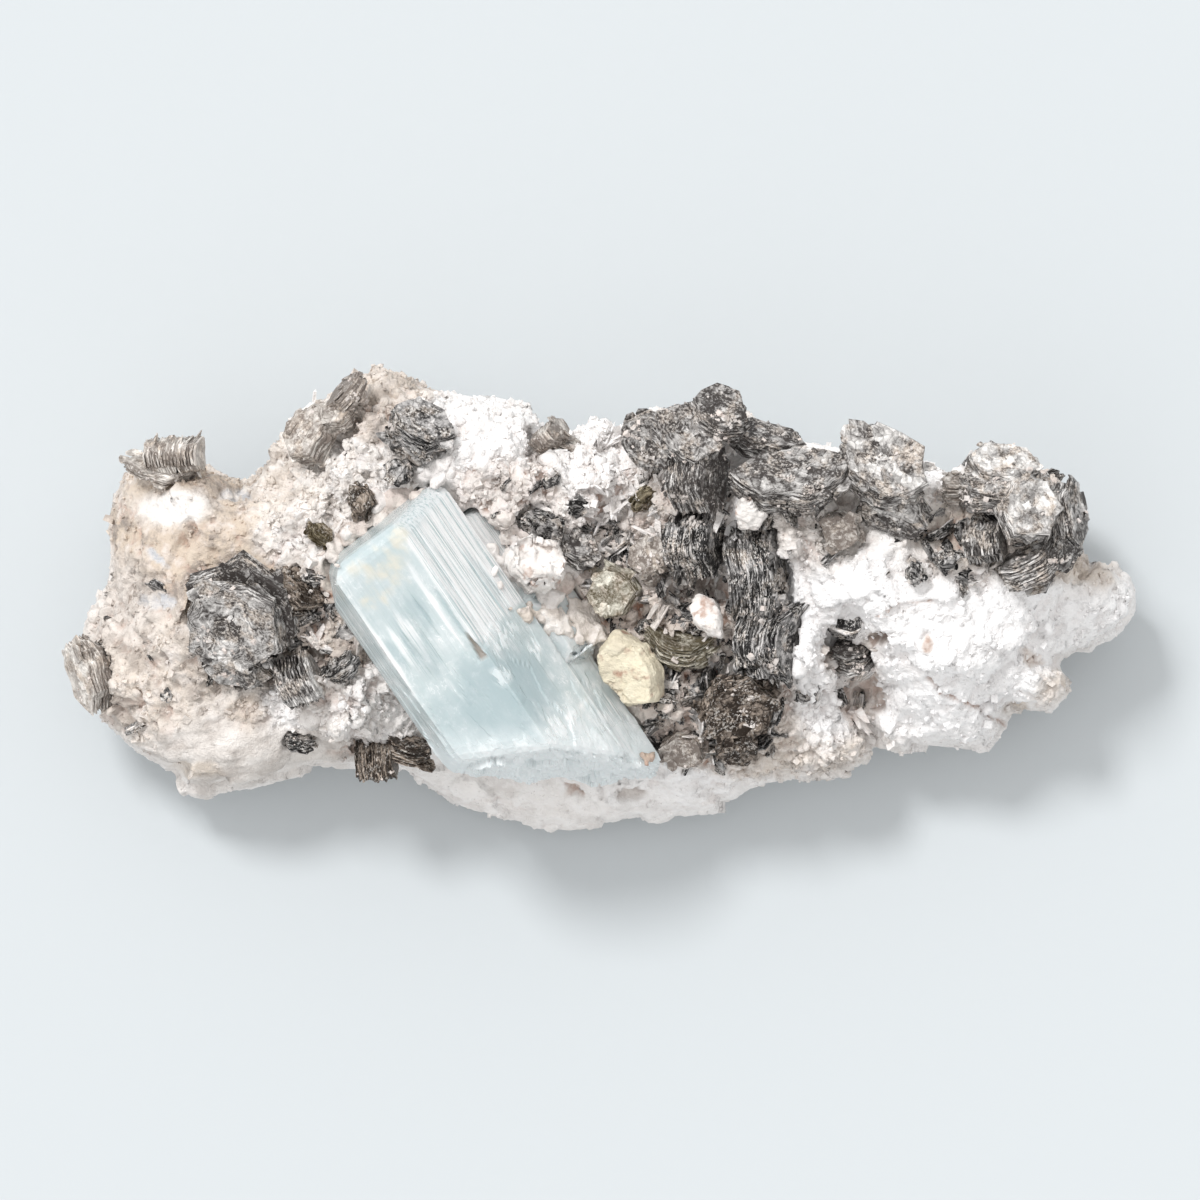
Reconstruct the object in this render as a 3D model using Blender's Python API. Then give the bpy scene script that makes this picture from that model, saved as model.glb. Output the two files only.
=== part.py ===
"""Aquamarine crystal on albite matrix with mica books, lying on its trimmed back.

Frame: +Z up, the display side up, the specimen's length along X, the origin under the middle of its
bounding box on the surface it rests on. Sizes below are in millimetres; Blender gets metres.
Run with: blender --background --python part.py
"""

import math
from collections import namedtuple

import bmesh
import bpy
import numpy as np
from mathutils import Matrix, Vector, geometry, noise

MM = 0.001
NOISE_SEED = 3  # without one, Blender's vector noise changes with the time of day

# Clearance that two grown-together crystals keep, so that their solids never share space.
GAP = 0.35

# --- Albite matrix -------------------------------------------------------------------------------
# Outline seen from above, clockwise from the left end.
OUTLINE = [
    (-59.1, -7.6), (-58.2, -11.2), (-56.2, -13.7), (-54.0, -15.9), (-51.5, -18.4), (-48.2, -19.8),
    (-47.5, -21.8), (-44.5, -22.5), (-40.2, -21.7), (-33.0, -19.6), (-25.8, -18.8), (-21.8, -19.3),
    (-18.9, -22.2), (-15.5, -24.1), (-11.0, -25.3), (-6.9, -25.9), (-3.2, -26.1), (1.1, -25.8),
    (5.0, -24.8), (10.8, -24.2), (15.0, -23.3), (16.6, -21.6), (19.5, -20.9), (27.4, -20.0),
    (30.5, -18.4), (30.8, -16.5), (33.9, -17.0), (43.7, -16.9), (44.8, -15.5), (46.4, -12.8),
    (51.2, -12.8), (53.5, -9.9), (52.1, -7.3), (53.6, -6.0), (56.0, -5.7), (59.1, -3.0), (60.3, -1.3),
    (60.1, 1.2), (59.1, 2.9), (56.0, 4.3), (54.2, 6.7), (54.0, 9.8), (52.2, 12.4), (47.8, 15.8),
    (43.6, 16.4), (39.6, 14.0), (36.0, 15.4), (33.0, 17.6), (27.5, 17.0), (22.4, 17.4), (17.4, 20.4),
    (12.8, 22.4), (8.6, 20.8), (3.6, 20.6), (1.2, 19.0), (-0.7, 20.3), (-3.0, 18.4), (-5.8, 19.4),
    (-8.0, 22.2), (-12.4, 22.6), (-15.0, 23.4), (-19.3, 24.3), (-22.7, 26.1), (-25.1, 26.0),
    (-28.0, 24.8), (-31.2, 22.0), (-34.6, 20.2), (-36.2, 16.6), (-37.9, 14.0), (-39.9, 13.3),
    (-44.6, 16.0), (-47.6, 18.0), (-50.6, 17.0), (-53.2, 14.0), (-54.4, 12.3), (-55.2, 8.3),
    (-55.3, 1.7), (-57.3, -2.0),
]
# Height of the display side at places across it: (x, y, z).
RELIEF = [
    (-54.9, 0.0, 20.0), (-50.4, 9.0, 22.0), (-44.2, 9.0, 25.0), (-44.8, -2.2, 24.5),
    (-51.5, -11.2, 19.0), (-41.4, -16.2, 19.0), (-33.6, -16.2, 19.0), (-33.6, 9.0, 27.0),
    (-29.7, 15.7, 28.5), (-22.4, 22.4, 28.0), (-13.4, 19.0, 30.0), (-9.0, 14.0, 29.5),
    (-1.1, 14.6, 27.5), (-4.5, 6.2, 25.0), (2.2, 4.5, 22.5), (4.5, 11.2, 24.0),
    (11.2, 11.2, 28.0), (11.2, -1.1, 23.0), (6.7, -11.8, 22.0), (15.7, -11.8, 21.5),
    (15.7, -20.2, 17.0), (24.6, -14.6, 19.0), (28.0, 3.4, 29.0), (21.3, 9.0, 29.0),
    (37.5, 3.4, 28.5), (39.2, -5.6, 26.5), (44.8, -11.8, 20.0), (54.9, 0.0, 21.0),
    (34.2, -14.0, 19.0), (48.2, 7.8, 27.0), (33.6, 13.4, 28.0), (-28.0, -11.2, 25.0),
    (-23.5, -15.7, 18.0), (-5.6, -23.7, 10.5), (-14.6, -22.4, 10.5), (5.6, -22.7, 12.5),
    (11.8, -22.4, 13.5), (22.4, -4.5, 26.0), (-27.0, 6.0, 28.0), (7.0, -16.0, 17.0),
]
RELIEF_SHARPNESS = 3.0  # how locally each of those heights holds
# Broken-out hollows: (x, y, radius, depth).
HOLLOWS = [(29.5, -10.5, 3.0, 9.0), (27.0, -5.0, 2.6, 8.0), (2.6, 8.4, 3.0, 3.0)]
RIM_SHARE = 0.42  # height of the widest outline, as a share of the height above it
TOP_ROUNDING = 7.5
BASE_ROUNDING = 8.0
LUMP_SIZE = 9.0
LUMP_HEIGHT = 1.5
RIM_STEP = 2.6
RIM_RING = 1.2  # how far the first ring of inner points lies behind the rim
RING_CLEARANCE = 0.8  # shares of RIM_RING that points keep from the rim: the ring's own
GRID_CLEARANCE = 2.2  # and the grid's
GRID_STEP = 2.9
GRID_JITTER = 0.5
GRID_REACH = (62.0, 28.0)  # half the length and width that the grid covers
NEAREST_PLACE = 0.1  # keeps the blend of heights finite at a place itself
ON_RIM = 1e-3
ON_BASE = 1e-4

# --- Aquamarine ----------------------------------------------------------------------------------
# Parallel prisms with 120 degree corners. Their own +Z runs down the long axis to the broken end,
# +Y is up and +X is across, towards the middle of the specimen.
PRISM_CENTRE = (-16.0, -5.0, 27.5)  # across the axis, along the axis, height
PRISM_TURN = -55.6  # heading of the long axis in plan, degrees from +X
PRISM_DIP = 8.0  # the broken end lies lower than the flat end
FIRST_FACE = -15.0  # lean of the uppermost face from upright, degrees; the others follow by 60
# Each prism: offset across and up, distance from its centre to each pair of faces, start, end.
Prism = namedtuple("Prism", "offset apothems start end")
MAIN_PRISM = Prism((0.0, 0.0), (7.10, 7.20, 8.24), -20.0, 40.0)
SIDE_PRISM = Prism((5.8, -4.6), (5.4, 4.9, 5.4), -11.2, 40.0)
STEP_PRISM = Prism((9.1, -5.0), (4.5, 4.3, 4.6), 0.4, 9.0)
FLAT_END = -16.0
FLAT_END_SKEW = 4.0
CORNER_POINT = (-8.2, 0.0, -12.2)  # the small face that takes off the flat end's outer corner
CORNER_NORMAL = (-0.92, 0.05, -0.39)
BREAK_POINT = (0.0, 0.0, 17.2)
BREAK_NORMAL = (-0.60, 0.42, 1.0)

# --- Mica books ----------------------------------------------------------------------------------
# Each book is a stack of plates: centre, half width and half height of the plates, stack thickness,
# tilt of the stack's axis from upright and the heading that it leans towards, in degrees. Books that
# grew into each other make one solid.
Book = namedtuple("Book", "x y z half_width half_height thickness tilt lean")
MICA = {
    "mica_rosette": [
        Book(-40.5, -2.4, 25.5, 6.0, 5.8, 4.8, 33, 245),
        Book(-40.5, -7.2, 22.5, 3.9, 2.6, 3.0, 50, 262),
    ],
    "mica_striped_block": [Book(-33.6, -9.0, 24.5, 3.0, 2.8, 4.2, 75, 20)],
    "mica_wedge": [Book(-33.8, 1.1, 25.5, 3.2, 3.2, 2.8, 50, 45)],
    "mica_flank_chip": [Book(-28.8, -7.5, 25.0, 2.0, 1.8, 2.2, 60, 130)],
    "mica_hanging": [
        Book(-25.1, -17.9, 16.5, 2.4, 2.6, 4.4, 80, 5),
        Book(-21.5, -16.8, 17.6, 2.9, 1.9, 2.4, 60, 75),
    ],
    "mica_hanging_chip": [Book(-33.6, -15.9, 17.5, 1.7, 1.4, 1.8, 60, 80)],
    "mica_cap": [
        Book(-47.7, 16.2, 21.5, 2.2, 2.8, 6.2, 78, 2),
        Book(-49.3, 14.8, 20.0, 4.4, 2.5, 1.6, 60, 82),
    ],
    "mica_left_edge": [Book(-57.4, -8.2, 15.0, 4.4, 2.8, 3.0, 60, 200)],
    "mica_crown_left": [
        Book(-32.4, 18.3, 26.5, 3.6, 2.8, 3.2, 40, 150),
        Book(-29.8, 20.4, 26.5, 2.6, 2.2, 2.2, 50, 100),
        Book(-28.2, 23.0, 26.5, 2.6, 2.2, 1.9, 70, 140),
    ],
    "mica_crown": [
        Book(-20.0, 19.4, 30.0, 3.9, 2.8, 3.2, 35, 60),
        Book(-21.2, 17.4, 29.0, 2.9, 2.0, 2.2, 50, 230),
    ],
    "mica_tip_chip": [Book(-22.4, 14.2, 29.6, 1.6, 1.5, 1.8, 35, 180)],
    "mica_brown_chip": [Book(-26.6, 11.0, 28.6, 1.9, 1.6, 1.8, 40, 200)],
    "mica_brown_fleck": [Book(-31.2, 7.4, 27.6, 1.5, 1.3, 1.5, 45, 45)],
    "mica_back_prism": [
        Book(-5.5, 18.3, 22.5, 1.6, 2.8, 3.0, 65, 40),
        Book(-3.9, 17.3, 21.5, 1.6, 1.8, 1.8, 60, 60),
    ],
    "mica_centre_dark": [Book(-6.6, 8.4, 26.0, 2.6, 1.9, 2.2, 30, 250)],
    "mica_centre_grey": [Book(-2.2, 5.6, 24.8, 2.4, 2.0, 2.2, 35, 60)],
    "mica_disc": [Book(1.4, 0.9, 25.0, 2.9, 3.0, 3.2, 22, 210)],
    "mica_grey_block": [
        Book(5.8, 4.9, 25.0, 2.4, 2.6, 3.4, 25, 180),
        Book(5.4, 3.0, 25.0, 1.1, 1.5, 2.4, 40, 300),
    ],
    "mica_fan": [Book(5.2, 11.4, 25.0, 1.7, 1.5, 1.2, 50, 310)],
    "mica_black": [Book(10.4, 6.2, 27.0, 3.7, 3.6, 5.2, 70, 0)],
    "mica_column": [
        Book(17.6, 3.1, 27.0, 5.2, 3.6, 5.2, 70, 8),
        Book(18.6, -4.4, 25.4, 4.8, 3.8, 5.4, 64, 350),
    ],
    "mica_lower": [
        Book(15.5, -11.9, 22.5, 4.6, 3.8, 3.6, 30, 290),
        Book(15.5, -16.2, 19.5, 2.5, 2.2, 2.6, 45, 280),
    ],
    "mica_olive": [Book(8.6, -5.6, 23.5, 4.2, 2.2, 2.4, 35, 80)],
    "mica_tan_low": [Book(9.3, -16.6, 18.5, 2.7, 2.2, 2.4, 35, 250)],
    "mica_ridge_left": [
        Book(5.8, 17.9, 30.5, 3.6, 3.6, 2.8, 35, 220),
        Book(9.5, 18.3, 31.5, 4.2, 3.4, 2.6, 30, 60),
        Book(13.2, 20.4, 30.5, 3.4, 3.4, 4.2, 40, 70),
        Book(18.5, 17.7, 28.0, 4.7, 2.2, 3.0, 50, 75),
        Book(10.9, 13.7, 30.0, 3.9, 4.0, 5.2, 60, 355),
    ],
    "mica_ridge_right": [
        Book(21.5, 13.4, 31.5, 7.2, 3.8, 3.6, 42, 95),
        Book(31.6, 14.8, 31.5, 5.4, 4.4, 4.2, 28, 60),
        Book(32.8, 10.3, 29.5, 4.0, 3.2, 3.4, 45, 250),
    ],
    "mica_nub": [Book(39.5, 12.5, 26.5, 1.5, 2.0, 2.4, 60, 90)],
    "mica_right": [
        Book(44.8, 15.0, 29.5, 4.2, 2.8, 2.4, 40, 80),
        Book(43.7, 12.4, 29.5, 3.8, 3.0, 3.2, 50, 85),
        Book(47.6, 10.1, 31.0, 3.6, 4.0, 2.8, 28, 30),
        Book(51.9, 9.3, 27.0, 4.1, 2.8, 3.4, 65, 10),
        Book(47.8, 3.8, 28.0, 3.2, 2.6, 3.4, 68, 118),
        Book(51.1, 5.6, 27.0, 2.4, 2.6, 3.0, 50, 330),
    ],
    "mica_barrel": [Book(42.9, 6.4, 28.8, 2.3, 2.8, 4.0, 75, 5)],
    "mica_spot_low": [Book(35.1, 2.9, 29.0, 1.2, 1.0, 1.6, 20, 0)],
    "mica_spot_high": [Book(38.6, 4.5, 29.3, 1.3, 1.1, 1.6, 25, 100)],
    "mica_smoky_patch": [Book(26.9, 7.8, 29.4, 2.4, 2.2, 2.2, 20, 250)],
    "mica_in_pocket": [Book(28.3, -6.2, 19.0, 2.4, 2.4, 3.2, 60, 100)],
}
BOOK_SIDES = 7
BOOK_RIPPLE = 0.11
BOOK_LEVELS = ((-0.5, 0.93), (0.0, 1.0), (0.5, 0.88))  # share of the thickness, share of the width

# --- Feldspar crystals that stand clear of the matrix --------------------------------------------
# Tapering blades, given like the books; the last number is the width left at the upper end.
Blade = namedtuple("Blade", "x y z half_width half_height thickness tilt lean taper")
FELDSPAR = {
    "cream_feldspar": Blade(3.4, -7.6, 25.0, 4.9, 3.3, 3.8, 25, 220, 0.80),
    "albite_overgrowth": Blade(-7.0, 4.2, 29.8, 4.6, 3.6, 4.6, 12, 60, 0.85),
    "albite_blade_high": Blade(17.0, 10.4, 31.0, 2.2, 2.9, 2.4, 35, 250, 0.45),
    "albite_blade_low": Blade(12.0, -2.0, 27.0, 2.0, 2.6, 2.0, 35, 120, 0.50),
}

# Base colour, roughness, metallic and transmission of each finish.
FINISHES = {
    "albite": ((0.83, 0.79, 0.74), 0.75, 0.0, 0.0),
    "cream_feldspar": ((0.82, 0.74, 0.55), 0.7, 0.0, 0.0),
    "mica": ((0.13, 0.13, 0.135), 0.35, 0.15, 0.0),
    "aquamarine": ((0.62, 0.82, 0.86), 0.15, 0.0, 0.6),
}


def clear_scene():
    """Removes whatever the scene already holds."""
    for thing in list(bpy.data.objects):
        bpy.data.objects.remove(thing)


def finish(name):
    """The material of one finish."""
    colour, roughness, metallic, transmission = FINISHES[name]
    material = bpy.data.materials.get(name)
    if material is None:
        material = bpy.data.materials.new(name)
        material.use_nodes = True
        shader = material.node_tree.nodes["Principled BSDF"].inputs
        shader["Base Color"].default_value = (*colour, 1.0)
        shader["Roughness"].default_value = roughness
        shader["Metallic"].default_value = metallic
        shader["Transmission Weight"].default_value = transmission
    return material


def mesh_object(name, bm, material):
    """A new object that holds bm, with its faces turned outwards."""
    bmesh.ops.recalc_face_normals(bm, faces=bm.faces)
    mesh = bpy.data.meshes.new(name)
    bm.to_mesh(mesh)
    bm.free()
    mesh.materials.append(finish(material))
    made = bpy.data.objects.new(name, mesh)
    bpy.context.scene.collection.objects.link(made)
    return made


def boolean(target, tool, operation):
    """Joins tool to target or cuts it away, and keeps the result as target's own mesh."""
    modifier = target.modifiers.new(operation.lower(), "BOOLEAN")
    modifier.operation = operation
    modifier.object = tool
    graph = bpy.context.evaluated_depsgraph_get()
    shape = bpy.data.meshes.new_from_object(target.evaluated_get(graph))
    target.modifiers.clear()
    target.data = shape


def joined(name, shapes, material):
    """One object of overlapping closed shapes, each given as a bmesh."""
    whole = mesh_object(name, shapes[0], material)
    for shape in shapes[1:]:
        tool = mesh_object(name + "_more", shape, material)
        boolean(whole, tool, "UNION")
        bpy.data.objects.remove(tool)
    return whole


def box_of(thing):
    """Lowest and highest corner of an object's mesh, in metres."""
    points = np.array([thing.matrix_world @ v.co for v in thing.data.vertices])
    return points.min(axis=0), points.max(axis=0)


def meet(first, second):
    """True if the boxes of two objects overlap."""
    (low_a, high_a), (low_b, high_b) = box_of(first), box_of(second)
    return bool(np.all(low_a < high_b) and np.all(low_b < high_a))


def drop_chips(thing):
    """Keeps the largest piece of a mesh, where cutting has left crumbs beside it."""
    bm = bmesh.new()
    bm.from_mesh(thing.data)
    left = set(bm.faces)
    pieces = []
    while left:
        stack, piece = [left.pop()], []
        while stack:
            face = stack.pop()
            piece.append(face)
            for edge in face.edges:
                for other in edge.link_faces:
                    if other in left:
                        left.remove(other)
                        stack.append(other)
        pieces.append(piece)
    pieces.sort(key=lambda piece: sum(face.calc_area() for face in piece))
    crumbs = [face for piece in pieces[:-1] for face in piece]
    bmesh.ops.delete(bm, geom=crumbs, context="FACES")
    bm.to_mesh(thing.data)
    bm.free()


def tilted_frame(x, y, z, tilt, lean):
    """Placement whose +Z leans by tilt from upright towards heading lean, with +X level."""
    tilt, lean = math.radians(tilt), math.radians(lean)
    axis = Vector((math.sin(tilt) * math.cos(lean), math.sin(tilt) * math.sin(lean), math.cos(tilt)))
    across = Vector((-math.sin(lean), math.cos(lean), 0.0))
    up = axis.cross(across)
    turn = Matrix((across, up, axis)).transposed().to_4x4()
    return Matrix.Translation(Vector((x, y, z)) * MM) @ turn


def stacked_rings(rings, frame):
    """Closed bmesh through rings of points, with a flat cap on the first and the last."""
    bm = bmesh.new()
    made = [[bm.verts.new(frame @ (Vector(p) * MM)) for p in ring] for ring in rings]
    for lower, upper in zip(made, made[1:]):
        for i in range(len(lower)):
            j = (i + 1) % len(lower)
            bm.faces.new((lower[i], lower[j], upper[j], upper[i]))
    bm.faces.new(made[0])
    bm.faces.new(made[-1])
    return bm


def book_shape(book, grow=0.0, taper=None):
    """An uneven seven-sided stack of plates. With taper it narrows to a blade at its upper end."""
    rings = []
    for share, width in BOOK_LEVELS:
        ring = []
        for k in range(BOOK_SIDES):
            turn = 2 * math.pi * k / BOOK_SIDES
            ripple = 1 + BOOK_RIPPLE * math.sin(2.1 * k + book.x + book.y)
            across = math.cos(turn) * (book.half_width * width * ripple + grow)
            along = math.sin(turn) * (book.half_height * width * ripple + grow)
            if taper is not None:
                across *= 1 - (1 - taper) * (0.5 + 0.5 * math.sin(turn))
            ring.append((across, along, share * (book.thickness + 2 * grow)))
        rings.append(ring)
    return stacked_rings(rings, tilted_frame(book.x, book.y, book.z, book.tilt, book.lean))


def mica_cluster(name, books, grow=0.0):
    """Mica books that grew into each other, as one solid."""
    return joined(name, [book_shape(book, grow) for book in books], "mica")


def feldspar_blade(name, blade, grow=0.0):
    """A feldspar crystal that stands clear of the matrix."""
    material = "cream_feldspar" if name == "cream_feldspar" else "albite"
    return mesh_object(name, book_shape(blade, grow, blade.taper), material)


def hexagon(apothems, grow):
    """Corners of a prism section with 120 degree corners, from its centre to each pair of faces."""
    corners = []
    for k in range(6):
        lean = math.radians(FIRST_FACE + 60 * k)
        following = lean + math.radians(60)
        near, far = apothems[k % 3] + grow, apothems[(k + 1) % 3] + grow
        spread = math.sin(following - lean)
        x = (far * math.cos(lean) - near * math.cos(following)) / spread
        y = (near * math.sin(following) - far * math.sin(lean)) / spread
        corners.append((x, y))
    return corners


def prism_frame():
    """Placement of the aquamarine: +Z down its long axis to the broken end, +Y up, +X across."""
    turn, dip = math.radians(PRISM_TURN), math.radians(PRISM_DIP)
    level = Vector((math.cos(turn), math.sin(turn), 0.0))
    along = level * math.cos(dip) - Vector((0.0, 0.0, math.sin(dip)))
    across = Vector((-math.sin(turn), math.cos(turn), 0.0))
    up = along.cross(across)
    n, u, z = PRISM_CENTRE
    centre = (across * n + level * u + Vector((0.0, 0.0, z))) * MM
    return Matrix.Translation(centre) @ Matrix((across, up, along)).transposed().to_4x4()


def prism_shape(prism, grow):
    """One six-sided prism of the aquamarine, before the crystal's ends are cut."""
    dx, dy = prism.offset
    section = [(x + dx, y + dy) for x, y in hexagon(prism.apothems, grow)]
    ends = (prism.start - grow, prism.end + grow)
    return stacked_rings([[(x, y, z) for x, y in section] for z in ends], Matrix.Identity(4))


def cut_end(bm, point, normal, grow):
    """Cuts a closed bmesh flat at a plane, moved out by grow, and closes it there."""
    normal = Vector(normal).normalized()
    plane = (Vector(point) + normal * grow) * MM
    every = bm.verts[:] + bm.edges[:] + bm.faces[:]
    found = bmesh.ops.bisect_plane(bm, geom=every, plane_co=plane, plane_no=normal, clear_outer=True)
    rim = [e for e in found["geom_cut"] if isinstance(e, bmesh.types.BMEdge)]
    if rim:
        bmesh.ops.contextual_create(bm, geom=rim)


def aquamarine(name, grow=0.0):
    """The main prism and the two that grew along its side, as one crystal."""
    shapes = [prism_shape(prism, grow) for prism in (MAIN_PRISM, SIDE_PRISM, STEP_PRISM)]
    skew = math.radians(FLAT_END_SKEW)
    cut_end(shapes[0], (0.0, 0.0, FLAT_END), (-math.sin(skew), 0.0, -math.cos(skew)), grow)
    cut_end(shapes[0], CORNER_POINT, CORNER_NORMAL, grow)
    for shape in shapes:
        cut_end(shape, BREAK_POINT, BREAK_NORMAL, grow)
    crystal = joined(name, shapes, "aquamarine")
    crystal.data.transform(prism_frame())
    return crystal


def relief_height(x, y):
    """Height of the display side over a point, blended from the heights around it."""
    places = np.array(RELIEF)
    away = np.hypot(places[:, 0] - x, places[:, 1] - y) + NEAREST_PLACE
    weight = away**-RELIEF_SHARPNESS
    height = float((weight * places[:, 2]).sum() / weight.sum())
    for hollow_x, hollow_y, radius, depth in HOLLOWS:
        height -= depth * math.exp(-((math.hypot(x - hollow_x, y - hollow_y) / radius) ** 2))
    lumps = noise.noise(Vector((x, y, 0.0)) / LUMP_SIZE)
    return height + LUMP_HEIGHT * lumps


def edge_distance(x, y):
    """Distance from a point to the matrix outline."""
    here = Vector((x, y))
    best = math.inf
    for a, b in zip(OUTLINE, OUTLINE[1:] + OUTLINE[:1]):
        nearest, share = geometry.intersect_point_line(here, a, b)
        share = min(1.0, max(0.0, share))
        nearest = Vector(a).lerp(Vector(b), share)
        best = min(best, (here - nearest).length)
    return best


def inside_outline(x, y):
    """True if a point lies within the matrix outline."""
    crossings = 0
    for (ax, ay), (bx, by) in zip(OUTLINE, OUTLINE[1:] + OUTLINE[:1]):
        if (ay > y) != (by > y) and x < ax + (bx - ax) * (y - ay) / (by - ay):
            crossings += 1
    return crossings % 2 == 1


def rounding(distance, reach):
    """Quarter-round rise from 0 at the outline to 1 at reach inside it."""
    share = min(1.0, distance / reach)
    return math.sqrt(1 - (1 - share) ** 2)


def rim_points():
    """The outline with a point at least every RIM_STEP."""
    points = []
    for a, b in zip(OUTLINE, OUTLINE[1:] + OUTLINE[:1]):
        steps = max(1, round(math.dist(a, b) / RIM_STEP))
        points += [tuple(Vector(a).lerp(Vector(b), k / steps)) for k in range(steps)]
    return points


def inner_points():
    """Points inside the outline: one ring close behind the rim, then an uneven triangular grid."""
    points = []
    rim = rim_points()
    for (ax, ay), (bx, by) in zip(rim, rim[1:] + rim[:1]):
        along = Vector((bx - ax, by - ay)).normalized()
        inward = Vector(((ax + bx) / 2, (ay + by) / 2)) + Vector((-along.y, along.x)) * RIM_RING
        if inside_outline(*inward) and edge_distance(*inward) > RING_CLEARANCE * RIM_RING:
            points.append(tuple(inward))
    columns = math.ceil(GRID_REACH[0] / GRID_STEP)
    row_step = GRID_STEP * math.sqrt(3) / 2
    rows = math.ceil(GRID_REACH[1] / row_step)
    for row in range(-rows, rows + 1):
        for column in range(-columns, columns + 1):
            x = (column + 0.5 * (row % 2)) * GRID_STEP
            y = row * row_step
            shift = noise.noise_vector(Vector((x, y, 7.0)))
            x += shift.x * GRID_JITTER
            y += shift.y * GRID_JITTER
            if inside_outline(x, y) and edge_distance(x, y) > GRID_CLEARANCE * RIM_RING:
                points.append((x, y))
    return points


def albite_matrix():
    """The albite mass: a rounded slab with relief on its display side and a flat trimmed back."""
    rim = rim_points()
    plan = [Vector(p) for p in rim + inner_points()]
    loop = list(range(len(rim)))
    verts, _, faces, *_ = geometry.delaunay_2d_cdt(plan, [], [loop], 1, 1e-5)
    bm = bmesh.new()
    top, base = [], []
    for x, y in verts:
        edge = edge_distance(x, y)
        height = relief_height(x, y)
        rim_height = RIM_SHARE * height
        if edge < ON_RIM:
            top.append(bm.verts.new(Vector((x, y, rim_height)) * MM))
            base.append(top[-1])
            continue
        rise = rim_height + (height - rim_height) * rounding(edge, TOP_ROUNDING)
        drop = rim_height * (1 - rounding(edge, BASE_ROUNDING))
        top.append(bm.verts.new(Vector((x, y, rise)) * MM))
        base.append(bm.verts.new(Vector((x, y, drop)) * MM))
    for face in faces:
        bm.faces.new([top[i] for i in face])
        bm.faces.new([base[i] for i in reversed(face)])
    return mesh_object("albite_matrix", bm, "albite")


def flatten_base(thing):
    """Merges the flat faces of the trimmed back into as few as they need."""
    bm = bmesh.new()
    bm.from_mesh(thing.data)
    flat = {f for f in bm.faces if all(v.co.z < ON_BASE * MM for v in f.verts)}
    edges = [e for e in bm.edges if all(face in flat for face in e.link_faces)]
    bmesh.ops.dissolve_edges(bm, edges=edges, use_verts=True)
    bm.to_mesh(thing.data)
    bm.free()


def seated(makers):
    """Builds each crystal without the space that earlier ones fill, and returns a cutter for each."""
    cutters = []
    for make in makers:
        crystal = make(0.0)
        for cutter in cutters:
            if meet(crystal, cutter):
                boolean(crystal, cutter, "DIFFERENCE")
        drop_chips(crystal)
        cutter = make(GAP)
        cutter.name = crystal.name + "_clearance"
        cutters.append(cutter)
    return cutters


def main():
    """Builds every crystal, then the matrix around them."""
    clear_scene()
    noise.seed_set(NOISE_SEED)
    makers = [lambda grow: aquamarine("aquamarine_crystal", grow)]
    for name, books in MICA.items():
        makers.append(lambda grow, name=name, books=books: mica_cluster(name, books, grow))
    for name, blade in FELDSPAR.items():
        makers.append(lambda grow, name=name, blade=blade: feldspar_blade(name, blade, grow))
    cutters = seated(makers)
    matrix = albite_matrix()
    for cutter in cutters:
        boolean(matrix, cutter, "DIFFERENCE")
        bpy.data.objects.remove(cutter)
    drop_chips(matrix)
    flatten_base(matrix)


main()
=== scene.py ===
"""Looks of an aquamarine specimen: the albite rock, its mica books, and the crystal that lies across it.

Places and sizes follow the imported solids. Meshes are worked out in millimetres, in the same frame as
the solids, and stored in metres.
"""

import functools
import itertools
import logging
import math
from dataclasses import dataclass, field
from enum import Enum
from typing import Any, Iterable, Iterator

import bmesh
import bpy
import numpy as np
from bpy.types import Material, Node, NodeTree, Object
from mathutils import Matrix, Vector
from mathutils.bvhtree import BVHTree


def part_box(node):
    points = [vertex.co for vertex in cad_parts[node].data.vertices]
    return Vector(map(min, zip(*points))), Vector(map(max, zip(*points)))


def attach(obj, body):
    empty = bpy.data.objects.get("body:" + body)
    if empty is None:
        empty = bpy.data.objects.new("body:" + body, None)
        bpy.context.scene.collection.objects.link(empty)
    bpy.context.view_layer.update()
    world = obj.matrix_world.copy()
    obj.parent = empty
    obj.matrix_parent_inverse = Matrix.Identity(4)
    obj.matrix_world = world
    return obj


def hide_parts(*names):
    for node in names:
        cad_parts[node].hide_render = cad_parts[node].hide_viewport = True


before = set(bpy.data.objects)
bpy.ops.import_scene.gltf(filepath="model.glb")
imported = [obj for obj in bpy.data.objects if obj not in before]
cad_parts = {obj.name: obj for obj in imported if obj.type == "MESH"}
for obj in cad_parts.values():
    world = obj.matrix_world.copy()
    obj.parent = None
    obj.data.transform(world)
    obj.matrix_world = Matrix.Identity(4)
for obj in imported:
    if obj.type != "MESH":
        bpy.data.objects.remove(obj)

log = logging.getLogger("specimen")

MM = 0.001
BODY = "root"
TINY = 1e-9
FULL_TURN = 6.28
Triple = tuple[float, float, float]
Colour = Triple
Array = np.ndarray
Draws = np.random.Generator
Socket = bpy.types.NodeSocket


# --- Noise ---
def unit(vectors: Array) -> Array:
    """Vectors of length 1 with the same directions."""
    return vectors / np.maximum(np.linalg.norm(vectors, axis=1, keepdims=True), TINY)


def draw_sizes(rng: Draws, middle: float, low: float, high: float, count: int, spread: float = 0.45) -> Array:
    """Random sizes from low to high, most of them near the middle one."""
    return np.clip(rng.lognormal(math.log(middle), spread, count), low, high)


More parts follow.
